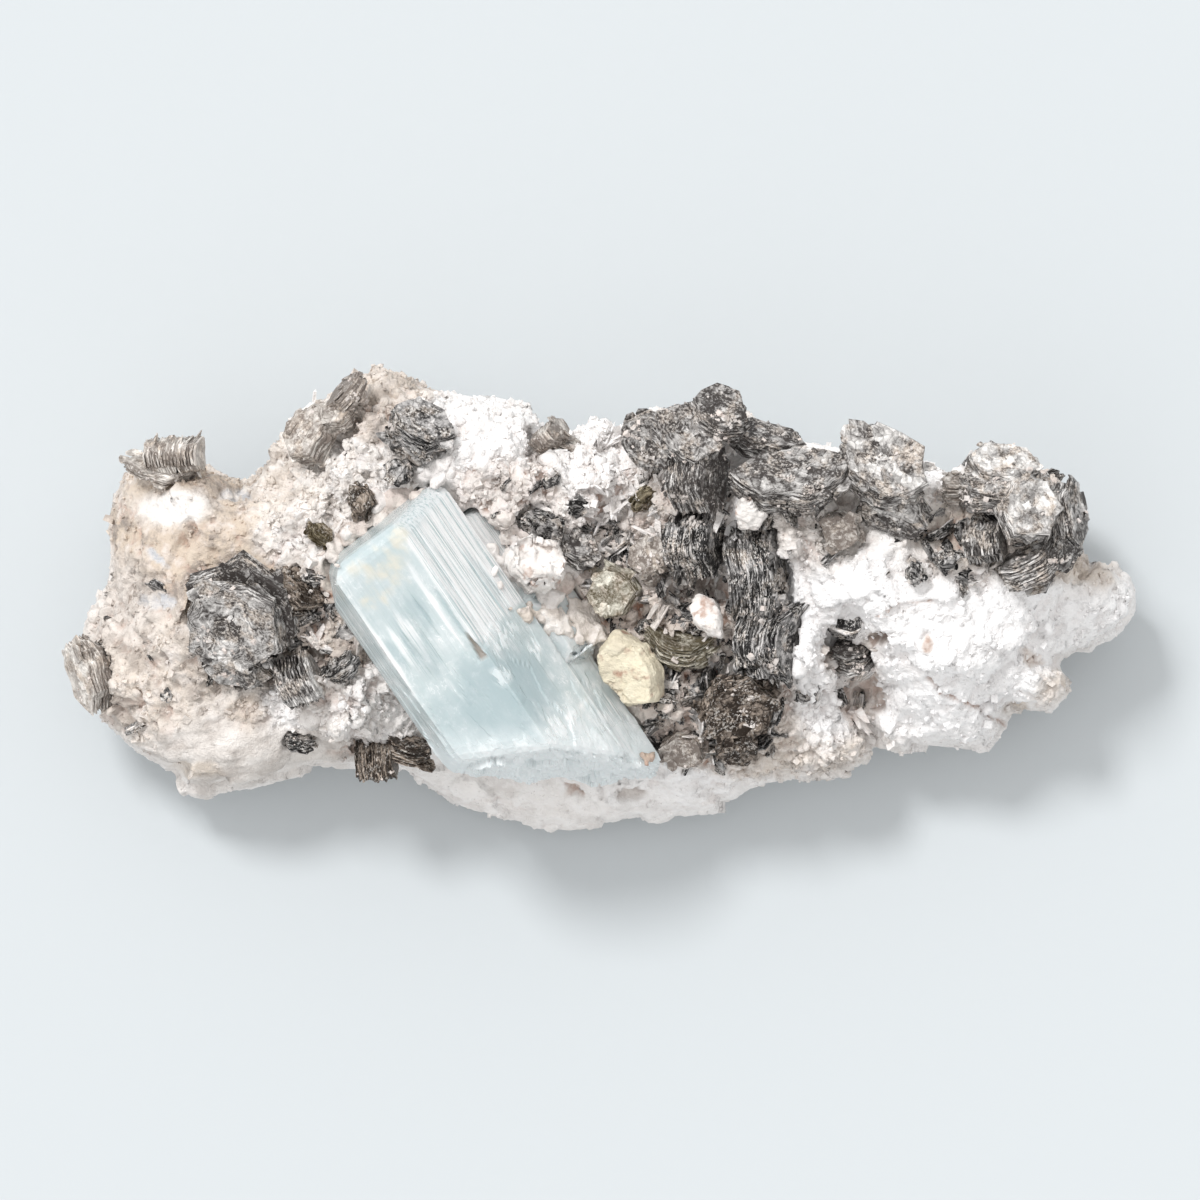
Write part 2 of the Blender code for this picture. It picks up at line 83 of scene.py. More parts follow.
class Field:
    """Repeatable three-dimensional noise, worked out for many points at once."""

    PRIMES = (374761393, 668265263, 1442695041)
    MIXERS = ((13, 1274126177), (15, 2246822519))
    SEED_STEP = 7919
    SALT_STEP = 104729
    MOST = 0xFFFFFFFF
    DIRECTIONS = 256

    def __init__(self, seed: int) -> None:
        """Starts a field of its own for each seed, which is any whole number."""
        self.seed = seed
        self.gradients = unit(np.random.default_rng(seed).normal(size=(self.DIRECTIONS, 3)))

    def codes(self, cells: Array, salt: int = 0) -> Array:
        """Gives each lattice cell a random whole number.

        Args:
            cells: Whole-number cells, one row each.
            salt: Picks another set of numbers.

        Returns:
            One number under 2**32 for each row.
        """
        most = np.uint64(self.MOST)
        start = (self.seed * self.SEED_STEP + salt * self.SALT_STEP) & self.MOST
        total = np.full(len(cells), start, np.uint64)
        for axis, prime in enumerate(self.PRIMES):
            total = (total + (cells[:, axis].astype(np.int64) * prime).astype(np.uint64)) & most
        for shift, factor in self.MIXERS:
            total = ((total ^ (total >> np.uint64(shift))) * np.uint64(factor)) & most
        return total ^ (total >> np.uint64(16))

    def fractions(self, cells: Array, salt: int = 0) -> Array:
        """The cells' random numbers as shares from 0 to 1."""
        return self.codes(cells, salt).astype(float) / self.MOST

    def directions(self, cells: Array, salt: int = 0) -> Array:
        """A random direction for each cell."""
        return self.gradients[(self.codes(cells, salt) % np.uint64(self.DIRECTIONS)).astype(int)]

    def around(self, points: Array, size: float) -> Iterator[tuple[Array, Array]]:
        """Goes through the cells at and beside each point. Each cell has one random place in it.

        Args:
            points: Places, one row each.
            size: Width of a cell.

        Yields:
            One neighbour cell of each point, and the way to the point from that cell's place.
        """
        scaled = points / size
        base = np.floor(scaled).astype(np.int64)
        for step in itertools.product((-1, 0, 1), repeat=3):
            cell = base + np.array(step)
            centre = cell + np.stack([self.fractions(cell, salt) for salt in (1, 2, 3)], axis=1)
            yield cell, scaled - centre

    def waves(self, points: Array, size: float) -> Array:
        """Smooth noise.

        Args:
            points: Places, one row each.
            size: Width of one bump, in the points' unit.

        Returns:
            Values from about -1 to 1, one for each point.
        """
        scaled = points / size
        base = np.floor(scaled)
        local = scaled - base
        base = base.astype(np.int64)
        fade = local**3 * (local * (local * 6 - 15) + 10)
        total = np.zeros(len(points))
        for corner in itertools.product((0, 1), repeat=3):
            offset = np.array(corner)
            weight = np.prod(np.where(offset, fade, 1 - fade), axis=1)
            total += weight * ((local - offset) * self.directions(base + offset)).sum(axis=1)
        return total * 1.6

    def rough(self, points: Array, size: float, octaves: int = 3, gain: float = 0.5) -> Array:
        """Noise with finer and finer detail.

        Args:
            points: Places, one row each.
            size: Width of the widest bumps.
            octaves: How many layers, each half as wide as the last.
            gain: Height of each layer against the last.

        Returns:
            Values from about -1 to 1, one for each point.
        """
        total, height, reach = np.zeros(len(points)), 1.0, 0.0
        for octave in range(octaves):
            total += height * self.waves(points + octave * 17.3, size / 2**octave)
            reach += height
            height *= gain
        return total / reach

    def chips(self, points: Array, size: float, tilt: float = 0.9) -> Array:
        """Heights of a surface made of small flat faces that lean each their own way.

        Args:
            points: Places, one row each.
            size: Width of a face.
            tilt: How steeply the faces lean.

        Returns:
            Heights from about -1 to 1, one for each point.
        """
        nearest = np.full(len(points), np.inf)
        height = np.zeros(len(points))
        for cell, away in self.around(points, size):
            distance = (away**2).sum(axis=1)
            value = self.fractions(cell, 5) - 0.5 + tilt * (away * self.directions(cell, 4)).sum(axis=1)
            closer = distance < nearest
            nearest = np.where(closer, distance, nearest)
            height = np.where(closer, value, height)
        return height

    def domes(self, points: Array, size: float) -> Array:
        """Heights of a surface made of rounded knobs that grew into each other.

        Args:
            points: Places, one row each.
            size: Spacing of the knobs.

        Returns:
            Heights from 0 to about 1, one for each point.
        """
        height = np.zeros(len(points))
        for cell, away in self.around(points, size):
            radius = 0.45 + 0.5 * self.fractions(cell, 4)
            height = np.maximum(height, radius**2 - (away**2).sum(axis=1))
        return np.sqrt(height)


@dataclass(frozen=True)
class Facets:
    """One layer of relief made of small flat faces: the seed of its field, the faces' width and
    height in millimetres, and how steeply they lean."""

    seed: int
    width: float
    height: float
    tilt: float = 0.9

    def heights(self, points: Array) -> Array:
        """The layer's relief at each place."""
        return self.height * Field(self.seed).chips(points, self.width, self.tilt)


def smooth_step(value: Array, low: float, high: float) -> Array:
    """Soft rise from 0 at low to 1 at high."""
    share = np.clip((value - low) / (high - low), 0.0, 1.0)
    return share * share * (3 - 2 * share)


# --- Meshes ---
@dataclass
class Shape:
    """A mesh as arrays, in millimetres, with named values for each vertex."""

    points: Array
    faces: Array
    values: dict[str, Array] = field(default_factory=dict)

    def centres(self) -> Array:
        """Middle of each face."""
        return self.points[self.faces].mean(axis=1)

    def face_vectors(self) -> Array:
        """Measures the faces.

        Returns:
            Normal of each face, as long as twice its area.
        """
        corners = self.points[self.faces]
        if self.faces.shape[1] == 4:
            return np.cross(corners[:, 2] - corners[:, 0], corners[:, 3] - corners[:, 1])
        return np.cross(corners[:, 1] - corners[:, 0], corners[:, 2] - corners[:, 0])

    def normals(self) -> Array:
        """Averages the normals of the faces that meet.

        Returns:
            Smooth normal at each vertex.
        """
        vectors = self.face_vectors()
        total = np.zeros_like(self.points)
        for corner in range(self.faces.shape[1]):
            np.add.at(total, self.faces[:, corner], vectors)
        return unit(total)

    def upness(self) -> Array:
        """How far each face looks up, from -1 for straight down to 1."""
        return unit(self.face_vectors())[:, 2]

    def part(self, chosen: Array) -> "Shape":
        """Cuts out some of the faces.

        Args:
            chosen: True for each face to keep.

        Returns:
            Those faces, with only the vertices that they use.
        """
        faces = self.faces[chosen]
        used, renumbered = np.unique(faces, return_inverse=True)
        values = {key: value[used] for key, value in self.values.items()}
        return Shape(self.points[used], renumbered.reshape(faces.shape), values)


def joined(shapes: Iterable[Shape]) -> Shape:
    """Puts shapes with the same kind of face and the same values into one.

    Args:
        shapes: At least one shape.

    Returns:
        One shape of all their faces.
    """
    shapes = list(shapes)
    starts = np.cumsum([0] + [len(shape.points) for shape in shapes[:-1]])
    return Shape(
        np.concatenate([shape.points for shape in shapes]),
        np.concatenate([shape.faces + start for shape, start in zip(shapes, starts)]),
        {name: np.concatenate([shape.values[name] for shape in shapes]) for name in shapes[0].values},
    )


def make_object(name: str, shape: Shape, material: Material, smooth: bool) -> Object:
    """Makes a Blender object from a shape and lets it ride on the specimen.

    Args:
        name: The object's name.
        shape: Its mesh, in millimetres. Named values become vertex attributes.
        material: Its finish.
        smooth: Whether its faces are shaded smooth.

    Returns:
        The new object.
    """
    mesh = bpy.data.meshes.new(name)
    count, sides = shape.faces.shape
    mesh.vertices.add(len(shape.points))
    mesh.vertices.foreach_set("co", (shape.points * MM).astype(np.float32).ravel())
    mesh.loops.add(count * sides)
    mesh.loops.foreach_set("vertex_index", shape.faces.astype(np.int32).ravel())
    mesh.polygons.add(count)
    mesh.polygons.foreach_set("loop_start", np.arange(0, count * sides, sides, dtype=np.int32))
    mesh.polygons.foreach_set("use_smooth", np.full(count, smooth))
    for key, value in shape.values.items():
        kind, entry = ("FLOAT_VECTOR", "vector") if value.ndim == 2 else ("FLOAT", "value")
        mesh.attributes.new(key, kind, "POINT")
        mesh.attributes[key].data.foreach_set(entry, value.astype(np.float32).ravel())
    mesh.update(calc_edges=True)
    mesh.validate()
    mesh.materials.append(material)
    made = bpy.data.objects.new(name, mesh)
    bpy.context.scene.collection.objects.link(made)
    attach(made, BODY)
    log.info("%s: %d faces", name, len(mesh.polygons))
    return made


def solid_copy(node: str) -> Object:
    """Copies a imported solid.

    Args:
        node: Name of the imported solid.

    Returns:
        A loose copy in millimetres, to be shaped and thrown away.
    """
    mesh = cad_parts[node].data.copy()
    mesh.transform(Matrix.Scale(1 / MM, 4))
    return bpy.data.objects.new(node + "_copy", mesh)


def evenly(thing: Object, voxel: float, smoothing: int) -> Shape:
    """Covers a loose object with an even mesh of small quads, and throws the object away.

    Args:
        thing: The object, in millimetres.
        voxel: Width of a quad.
        smoothing: How many times the mesh is relaxed.

    Returns:
        The even mesh.
    """
    bpy.context.scene.collection.objects.link(thing)
    remesh = thing.modifiers.new("even", "REMESH")
    remesh.mode = "VOXEL"
    remesh.voxel_size = voxel
    relax = thing.modifiers.new("relax", "SMOOTH")
    relax.factor = 0.5
    relax.iterations = smoothing
    mesh = bpy.data.meshes.new_from_object(thing.evaluated_get(bpy.context.evaluated_depsgraph_get()))
    points = np.empty(len(mesh.vertices) * 3, np.float32)
    mesh.vertices.foreach_get("co", points)
    faces = np.empty(len(mesh.loops), np.int32)
    mesh.loops.foreach_get("vertex_index", faces)
    bpy.data.objects.remove(thing)
    return Shape(points.reshape(-1, 3).astype(float), faces.reshape(-1, 4))


def random_turns(count: int, rng: Draws) -> Array:
    """Random rotations.

    Args:
        count: How many.
        rng: The random draws.

    Returns:
        Matrices of count x 3 x 3 whose rows are a turned frame's axes.
    """
    w, x, y, z = rng.normal(size=(count, 4)).T
    size = np.sqrt(w * w + x * x + y * y + z * z)
    w, x, y, z = w / size, x / size, y / size, z / size
    rows = [
        [1 - 2 * (y * y + z * z), 2 * (x * y - w * z), 2 * (x * z + w * y)],
        [2 * (x * y + w * z), 1 - 2 * (x * x + z * z), 2 * (y * z - w * x)],
        [2 * (x * z - w * y), 2 * (y * z + w * x), 1 - 2 * (x * x + y * y)],
    ]
    return np.array(rows).transpose(2, 0, 1)


def turns_along(directions: Array, rng: Draws) -> Array:
    """Frames, axes as rows, whose first axis runs along each unit direction, rolled at random."""
    side = unit(np.cross(directions, rng.normal(size=directions.shape)))
    return np.stack([directions, side, np.cross(directions, side)], axis=1)


BLOCK_CORNERS = np.array(list(itertools.product((-1, 1), repeat=3)), float)
BLOCK_FACES = np.array([[0, 1, 3, 2], [4, 6, 7, 5], [0, 4, 5, 1], [2, 3, 7, 6], [0, 2, 6, 4], [1, 5, 7, 3]])
UNEVENNESS = 0.30


def blocks(centres: Array, turns: Array, halves: Array, taper: float, rng: Draws) -> Shape:
    """Many small uneven crystal blocks.

    Args:
        centres: Middle of each block.
        turns: Frame of each block, axes as rows.
        halves: Half length, width and thickness of each block.
        taper: How much narrower the far end is, from 0 to 1.
        rng: The random draws.

    Returns:
        One shape of all the blocks.
    """
    count = len(centres)
    corners = BLOCK_CORNERS[None] * halves[:, None]
    narrowing = 1 - taper * (BLOCK_CORNERS[:, 0] > 0)
    corners[:, :, 1:] *= narrowing[None, :, None]
    corners *= 1 + UNEVENNESS * rng.uniform(-1, 1, size=corners.shape)
    points = np.einsum("nkc,ncd->nkd", corners, turns) + centres[:, None]
    faces = BLOCK_FACES[None] + len(BLOCK_CORNERS) * np.arange(count)[:, None, None]
    return Shape(points.reshape(-1, 3), faces.reshape(-1, 4))


def knob_mould() -> tuple[Array, Array]:
    """Makes a ball of 24 quads.

    Returns:
        Its 26 points and the corner numbers of its faces.
    """
    grid = [p for p in itertools.product((-1, 0, 1), repeat=3) if any(p)]
    index = {point: number for number, point in enumerate(grid)}
    faces = []
    for axis, side in itertools.product(range(3), (-1, 1)):
        for u, v in itertools.product((-1, 0), repeat=2):
            corners = [(u, v), (u + 1, v), (u + 1, v + 1), (u, v + 1)]
            placed = [tuple(np.insert(np.array(corner), axis, side).tolist()) for corner in corners]
            ordered = placed if (side > 0) == (axis != 1) else placed[::-1]
            faces.append([index[corner] for corner in ordered])
    return unit(np.array(grid, float)), np.array(faces)


def knobs(centres: Array, radii: Array, rng: Draws) -> Shape:
    """Many small dented knobs.

    Args:
        centres: Middle of each knob.
        radii: Radius of each knob.
        rng: The random draws.

    Returns:
        One shape of all the knobs.
    """
    mould, faces = knob_mould()
    count = len(centres)
    stretch = rng.uniform(0.5, 1.35, (count, 1, 3))
    dents = 1 + UNEVENNESS * rng.uniform(-1, 1, (count, len(mould), 1))
    local = mould[None] * stretch * dents * radii[:, None, None]
    points = np.einsum("nkc,ncd->nkd", local, random_turns(count, rng)) + centres[:, None]
    numbered = faces[None] + len(mould) * np.arange(count)[:, None, None]
    return Shape(points.reshape(-1, 3), numbered.reshape(-1, 4))


@dataclass
class Plates:
    """Thin crystal plates with uneven outlines, as arrays with one row for each plate."""

    centres: Array
    frames: Array
    halves: Array
    thickness: Array
    turns: Array
    radii: Array

    def points(self) -> Array:
        """Works out the corners of the plates.

        Returns:
            For each plate the places of its upper outline, its lower outline, then both middles.
        """
        outline = np.stack([np.cos(self.turns), np.sin(self.turns)], axis=2) * self.radii[:, :, None]
        outline = outline * self.halves[:, None]
        half = self.thickness[:, None] / 2
        level = np.broadcast_to(half, self.turns.shape)
        upper = np.concatenate([outline * 0.96, level[:, :, None]], axis=2)
        lower = np.concatenate([outline, -level[:, :, None]], axis=2)
        middle = np.zeros((len(self.centres), 2, 3))
        middle[:, 0, 2] = half[:, 0]
        middle[:, 1, 2] = -half[:, 0]
        local = np.concatenate([upper, lower, middle], axis=1)
        return np.einsum("nkc,ncd->nkd", local, self.frames) + self.centres[:, None]

    def faces(self) -> Array:
        """Numbers the corners of the plates' triangles.

        Returns:
            Triangles of all the plates, plate by plate.
        """
        count, sides = self.turns.shape
        here = np.arange(sides)
        after = (here + 1) % sides
        low, low_after = here + sides, after + sides
        top, bottom = np.full(sides, 2 * sides), np.full(sides, 2 * sides + 1)
        one = np.concatenate([
            np.stack([top, here, after], axis=1),
            np.stack([bottom, low_after, low], axis=1),
            np.stack([here, low, low_after], axis=1),
            np.stack([here, low_after, after], axis=1),
        ])
        return (one[None] + (2 * sides + 2) * np.arange(count)[:, None, None]).reshape(-1, 3)

    def mica_values(self, places: Array, shades: Array, faced: Array, rings: float) -> dict[str, Array]:
        """The mica finish's values for the plates.

        Args:
            places: Where the pattern is read, corner by corner.
            shades: How light each plate is.
            faced: How much each one's upper side looks like a book's face.
            rings: How clearly growth rings show.

        Returns:
            Each value's name and its numbers, corner by corner.
        """
        corners = len(places) // len(shades)
        upper = (np.arange(corners) < self.turns.shape[1]).astype(float)
        return {
            "in_book": places,
            "shade": np.repeat(shades, corners),
            "face": np.outer(faced, upper).ravel(),
            "rings": np.full(len(places), rings, float),
        }


def plate_outlines(count: int, sides: int, rng: Draws) -> tuple[Array, Array]:
    """Random polygon outlines.

    Args:
        count: How many.
        sides: Corners of each.
        rng: The random draws.

    Returns:
        The corners' angles and their distances from the middle, one row for each polygon.
    """
    even = np.arange(sides) * 2 * math.pi / sides
    turns = even + rng.uniform(-0.32, 0.32, (count, sides)) + rng.uniform(0, FULL_TURN, (count, 1))
    return turns, rng.uniform(0.62, 1.08, (count, sides))


def scattered(surface: Shape, density: Array, count: int, rng: Draws) -> tuple[Array, Array]:
    """Picks random places on a surface.

    Args:
        surface: A shape of quads.
        density: How thickly each face is covered, from 0 up.
        count: How many places.
        rng: The random draws.

    Returns:
        The places and the surface normals there.
    """
    vectors = surface.face_vectors()
    chance = np.linalg.norm(vectors, axis=1) * density
    picked = rng.choice(len(chance), size=count, p=chance / chance.sum())
    corners = surface.points[surface.faces[picked]]
    u, v = rng.uniform(size=(2, count, 1))
    near_side = (1 - v) * corners[:, 0] + v * corners[:, 3]
    far_side = (1 - v) * corners[:, 1] + v * corners[:, 2]
    return (1 - u) * near_side + u * far_side, unit(vectors[picked])


class Ground:
    """A surface that places can be dropped onto from above or measured from."""

    SKY = 100.0

    def __init__(self, points: Array, faces: Array) -> None:
        """Sorts a surface in millimetres for searching."""
        self.tree = BVHTree.FromPolygons(points.tolist(), faces.tolist())

    def below(self, x: float, y: float) -> Array | None:
        """Highest place on the surface at a spot, or None beside the surface."""
        place = self.tree.ray_cast(Vector((x, y, self.SKY)), Vector((0, 0, -1)))[0]
        return None if place is None else np.array(place)

    def depth(self, point: Array) -> float:
        """How far under the surface a point lies, or a negative number above it."""
        place, normal, _, distance = self.tree.find_nearest(Vector(point))
        return distance if (Vector(point) - place).dot(normal) < 0 else -distance


def ground_of(node: str) -> Ground:
    """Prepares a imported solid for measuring.

    Args:
        node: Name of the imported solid.

    Returns:
        Its surface.
    """
    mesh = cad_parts[node].data
    points = np.array([vertex.co for vertex in mesh.vertices]) / MM
    faces = [list(face.vertices) for face in mesh.polygons]
    triangles = [[face[0], face[i], face[i + 1]] for face in faces for i in range(1, len(face) - 1)]
    return Ground(points, np.array(triangles))


# --- Shader graphs ---
@dataclass
class Graph:
    """A shader node tree that nodes are added to by kind, with their inputs set or linked."""

    tree: NodeTree

    def add(self, kind: str, inputs: dict[Any, Any] | None = None, **settings: Any) -> Node:
        """Adds one node.

        Args:
            kind: The node's type name after "ShaderNode".
            inputs: Values for its input sockets, or sockets to link to them.
            settings: Its own settings.

        Returns:
            The new node.
        """
        node = self.tree.nodes.new(kind if kind.startswith("NodeGroup") else "ShaderNode" + kind)
        for key, value in settings.items():
            setattr(node, key, value)
        self.feed(node, inputs or {})
        return node

    def feed(self, node: Node, inputs: dict[Any, Any]) -> None:
        """Sets or links inputs of a node.

        Args:
            node: The node.
            inputs: Values for its input sockets, or sockets to link to them.
        """
        for key, value in inputs.items():
            if isinstance(value, Socket):
                self.tree.links.new(value, node.inputs[key])
            else:
                node.inputs[key].default_value = value

    def math(self, operation: str, *values: Any) -> Socket:
        """The result of a Math node on numbers or sockets."""
        return self.add("Math", dict(enumerate(values)), operation=operation).outputs[0]

    def times(self, first: Any, second: Any) -> Socket:
        """The product of two numbers or sockets."""
        return self.math("MULTIPLY", first, second)

    def plus(self, first: Any, second: Any) -> Socket:
        """The sum of two numbers or sockets."""
        return self.math("ADD", first, second)

    def mix(self, share: Any, first: Any, second: Any) -> Socket:
        """A colour mixed from two colours or sockets."""
        pair = [solid(colour) if isinstance(colour, tuple) else colour for colour in (first, second)]
        return self.add("Mix", {0: share, 6: pair[0], 7: pair[1]}, data_type="RGBA").outputs[2]

    def blend(self, share: Any, first: Any, second: Any) -> Socket:
        """A number mixed from two numbers or sockets."""
        return self.add("Mix", {0: share, 2: first, 3: second}, data_type="FLOAT").outputs[0]

    def bump(self, height: Any, strength: float, distance: float) -> Socket:
        """The normal of a surface raised by a height, over a distance in millimetres."""
        inputs = {"Height": height, "Strength": strength, "Distance": distance * MM}
        return self.add("Bump", inputs).outputs[0]

    def noise(self, place: Any, scale: float, detail: float, roughness: float = 0.55) -> Socket:
        """Noise from about 0.2 to 0.8 at a place in millimetres."""
        inputs = {"Vector": place, "Scale": scale, "Detail": detail, "Roughness": roughness}
        return self.add("TexNoise", inputs).outputs["Fac"]

    def range(self, value: Any, low: Any, high: Any) -> Socket:
        """A value spread so that low becomes 0 and high becomes 1, held between them."""
        inputs = {"Value": value, "From Min": low, "From Max": high}
        return self.add("MapRange", inputs, clamp=True).outputs[0]

    def scaled(self, vector: Any, factors: Triple) -> Socket:
        """A vector stretched along each axis."""
        return self.add("VectorMath", {0: vector, 1: factors}, operation="MULTIPLY").outputs[0]

    def value(self, name: str) -> Socket:
        """One of the mesh's own named values."""
        return self.add("Attribute", attribute_name=name).outputs["Fac"]

    def local(self, name: str) -> Socket:
        """One of the mesh's own named places."""
        return self.add("Attribute", attribute_name=name).outputs["Vector"]

    def place(self) -> Socket:
        """The surface's place in the object, in millimetres."""
        source = self.add("TexCoord").outputs["Object"]
        return self.scaled(source, (1 / MM, 1 / MM, 1 / MM))


def solid(colour: Colour) -> tuple[float, float, float, float]:
    """A colour with full cover, as Blender's sockets take it."""
    return (*colour, 1.0)


SOCKETS = {"vector": "NodeSocketVector", "colour": "NodeSocketColor", "value": "NodeSocketFloat"}


def new_group(name: str, inputs: dict[str, str], outputs: dict[str, str]) -> tuple[Graph, Any, Node]:
    """Starts a shader node group.

    Args:
        name: The group's name.
        inputs: Each input's name and kind, from SOCKETS.
        outputs: Each output's name and kind.

    Returns:
        Its graph, the sockets that its inputs arrive at, and its output node.
    """
    tree = bpy.data.node_groups.new(name, "ShaderNodeTree")
    for way, sockets in (("INPUT", inputs), ("OUTPUT", outputs)):
        for key, kind in sockets.items():
            tree.interface.new_socket(key, in_out=way, socket_type=SOCKETS[kind])
    graph = Graph(tree)
    return graph, graph.add("NodeGroupInput").outputs, graph.add("NodeGroupOutput")


@functools.cache
def speckle_group() -> NodeTree:
    """Makes the fine dark specks of sugary feldspar, once.

    Returns:
        The group.
    """
    graph, given, result = new_group(
        "feldspar_specks",
        {"Place": "vector", "Colour": "colour", "Speck": "colour", "Amount": "value"},
        {"Colour": "colour", "Height": "value"},
    )
    fine = graph.noise(given["Place"], 2.6, 3.0, 0.7)
    broad = graph.noise(given["Place"], 0.45, 3.0)
    dark = graph.range(fine, 0.40, 0.27)
    dark = graph.times(dark, graph.range(broad, 0.40, 0.62))
    dark = graph.times(dark, given["Amount"])
    colour = graph.mix(dark, given["Colour"], given["Speck"])
    graph.feed(result, {"Colour": colour, "Height": fine})
    return graph.tree


def new_material(name: str) -> tuple[Material, Graph, Node]:
    """An empty material with a Principled shader.

    Args:
        name: The material's name.

    Returns:
        The material, its graph and the shader node.
    """
    material = bpy.data.materials.new(name)
    material.use_nodes = True
    return material, Graph(material.node_tree), material.node_tree.nodes["Principled BSDF"]


# --- Finishes ---
@dataclass(frozen=True)
class AlbiteFinish:
    """Sugary white feldspar with cream and rust stains in it, and painted shade in its hollows and pits."""

    name: str = "albite"
    white: Colour = (0.80, 0.75, 0.705)
    snow: Colour = (0.97, 0.955, 0.95)
    cream: Colour = (0.625, 0.53, 0.435)
    taupe: Colour = (0.33, 0.28, 0.245)
    rust: Colour = (0.42, 0.25, 0.18)
    grey: Colour = (0.50, 0.51, 0.54)
    speck: Colour = (0.34, 0.30, 0.27)
    roughness: float = 0.6
    specular: float = 0.35
    speck_amount: float = 0.7
    bump: float = 0.8
    bump_height: float = 0.35
    stain_depth: float = 0.4

    def material(self) -> Material:
        """Builds the material.

        Returns:
            A material reading the mesh's cream, rust, snow, grey and dark; dark is painted shade in pits.
        """
        material, graph, shader = new_material(self.name)
        place = graph.place()
        mottle = graph.noise(place, 0.55, 5.0, 0.6)
        patchy = {
            "cream": graph.range(mottle, 0.26, 0.56),
            "rust": graph.range(mottle, 0.66, 0.40),
            "grey": graph.range(mottle, 0.34, 0.58),
        }
        colour = graph.mix(graph.value("snow"), self.white, self.snow)
        for name, share in patchy.items():
            colour = graph.mix(graph.times(graph.value(name), share), colour, getattr(self, name))
        dusk = graph.times(graph.range(graph.noise(place, 0.28, 6.0, 0.7), 0.49, 0.62), 0.8)
        dusk = graph.times(dusk, graph.plus(graph.value("cream"), 0.12))
        colour = graph.mix(dusk, colour, self.taupe)
        # Painted shade: a dark brown put into the pits of the dark marks.
        pit_shade = graph.times(graph.value("dark"), graph.range(mottle, 0.72, 0.45))
        colour = graph.mix(pit_shade, colour, tuple(self.stain_depth * part for part in self.rust))
        given = {"Place": place, "Colour": colour, "Speck": solid(self.speck), "Amount": self.speck_amount}
        specks = graph.add("Group", given, node_tree=speckle_group()).outputs
        graph.feed(shader, {
            "Base Color": specks["Colour"],
            "Normal": graph.bump(specks["Height"], self.bump, self.bump_height),
            "Roughness": self.roughness,
            "Specular IOR Level": self.specular,
        })
        return material


@dataclass(frozen=True)
class MicaFinish:
    """Layered mica: fine lines on sheet edges, a patchy pearly face, flecks of albite dust and painted
    glints.
    """

    name: str
    dark: Colour
    light: Colour
    # Amount of white flecks, partly albite dust and partly painted glints.
    dust: float = 0.4
    metallic: float = 0.12
    specular: float = 0.22
    bump: float = 0.6
    bump_height: float = 0.15

    def material(self) -> Material:
        """Builds the material.

        Returns:
            A material that reads the values in_book, shade, face and rings of the mesh.
        """
        material, graph, shader = new_material(self.name)
        layers = graph.add("Group", node_tree=mica_group())
        graph.feed(layers, {
            "Place": graph.local("in_book"),
            "Shade": graph.value("shade"),
            "Face": graph.value("face"),
            "Rings": graph.value("rings"),
            "Dark": solid(self.dark),
            "Light": solid(self.light),
            "DustAndGlints": self.dust,
        })
        graph.feed(shader, {
            "Base Color": layers.outputs["Base Color"],
            "Roughness": layers.outputs["Roughness"],
            "Normal": graph.bump(layers.outputs["Height"], self.bump, self.bump_height),
            "Metallic": self.metallic,
            "Specular IOR Level": self.specular,
        })
        return material


WARM_PEARL = (0.47, 0.37, 0.285)
DUST_AND_GLINT_WHITE = (0.86, 0.84, 0.81)


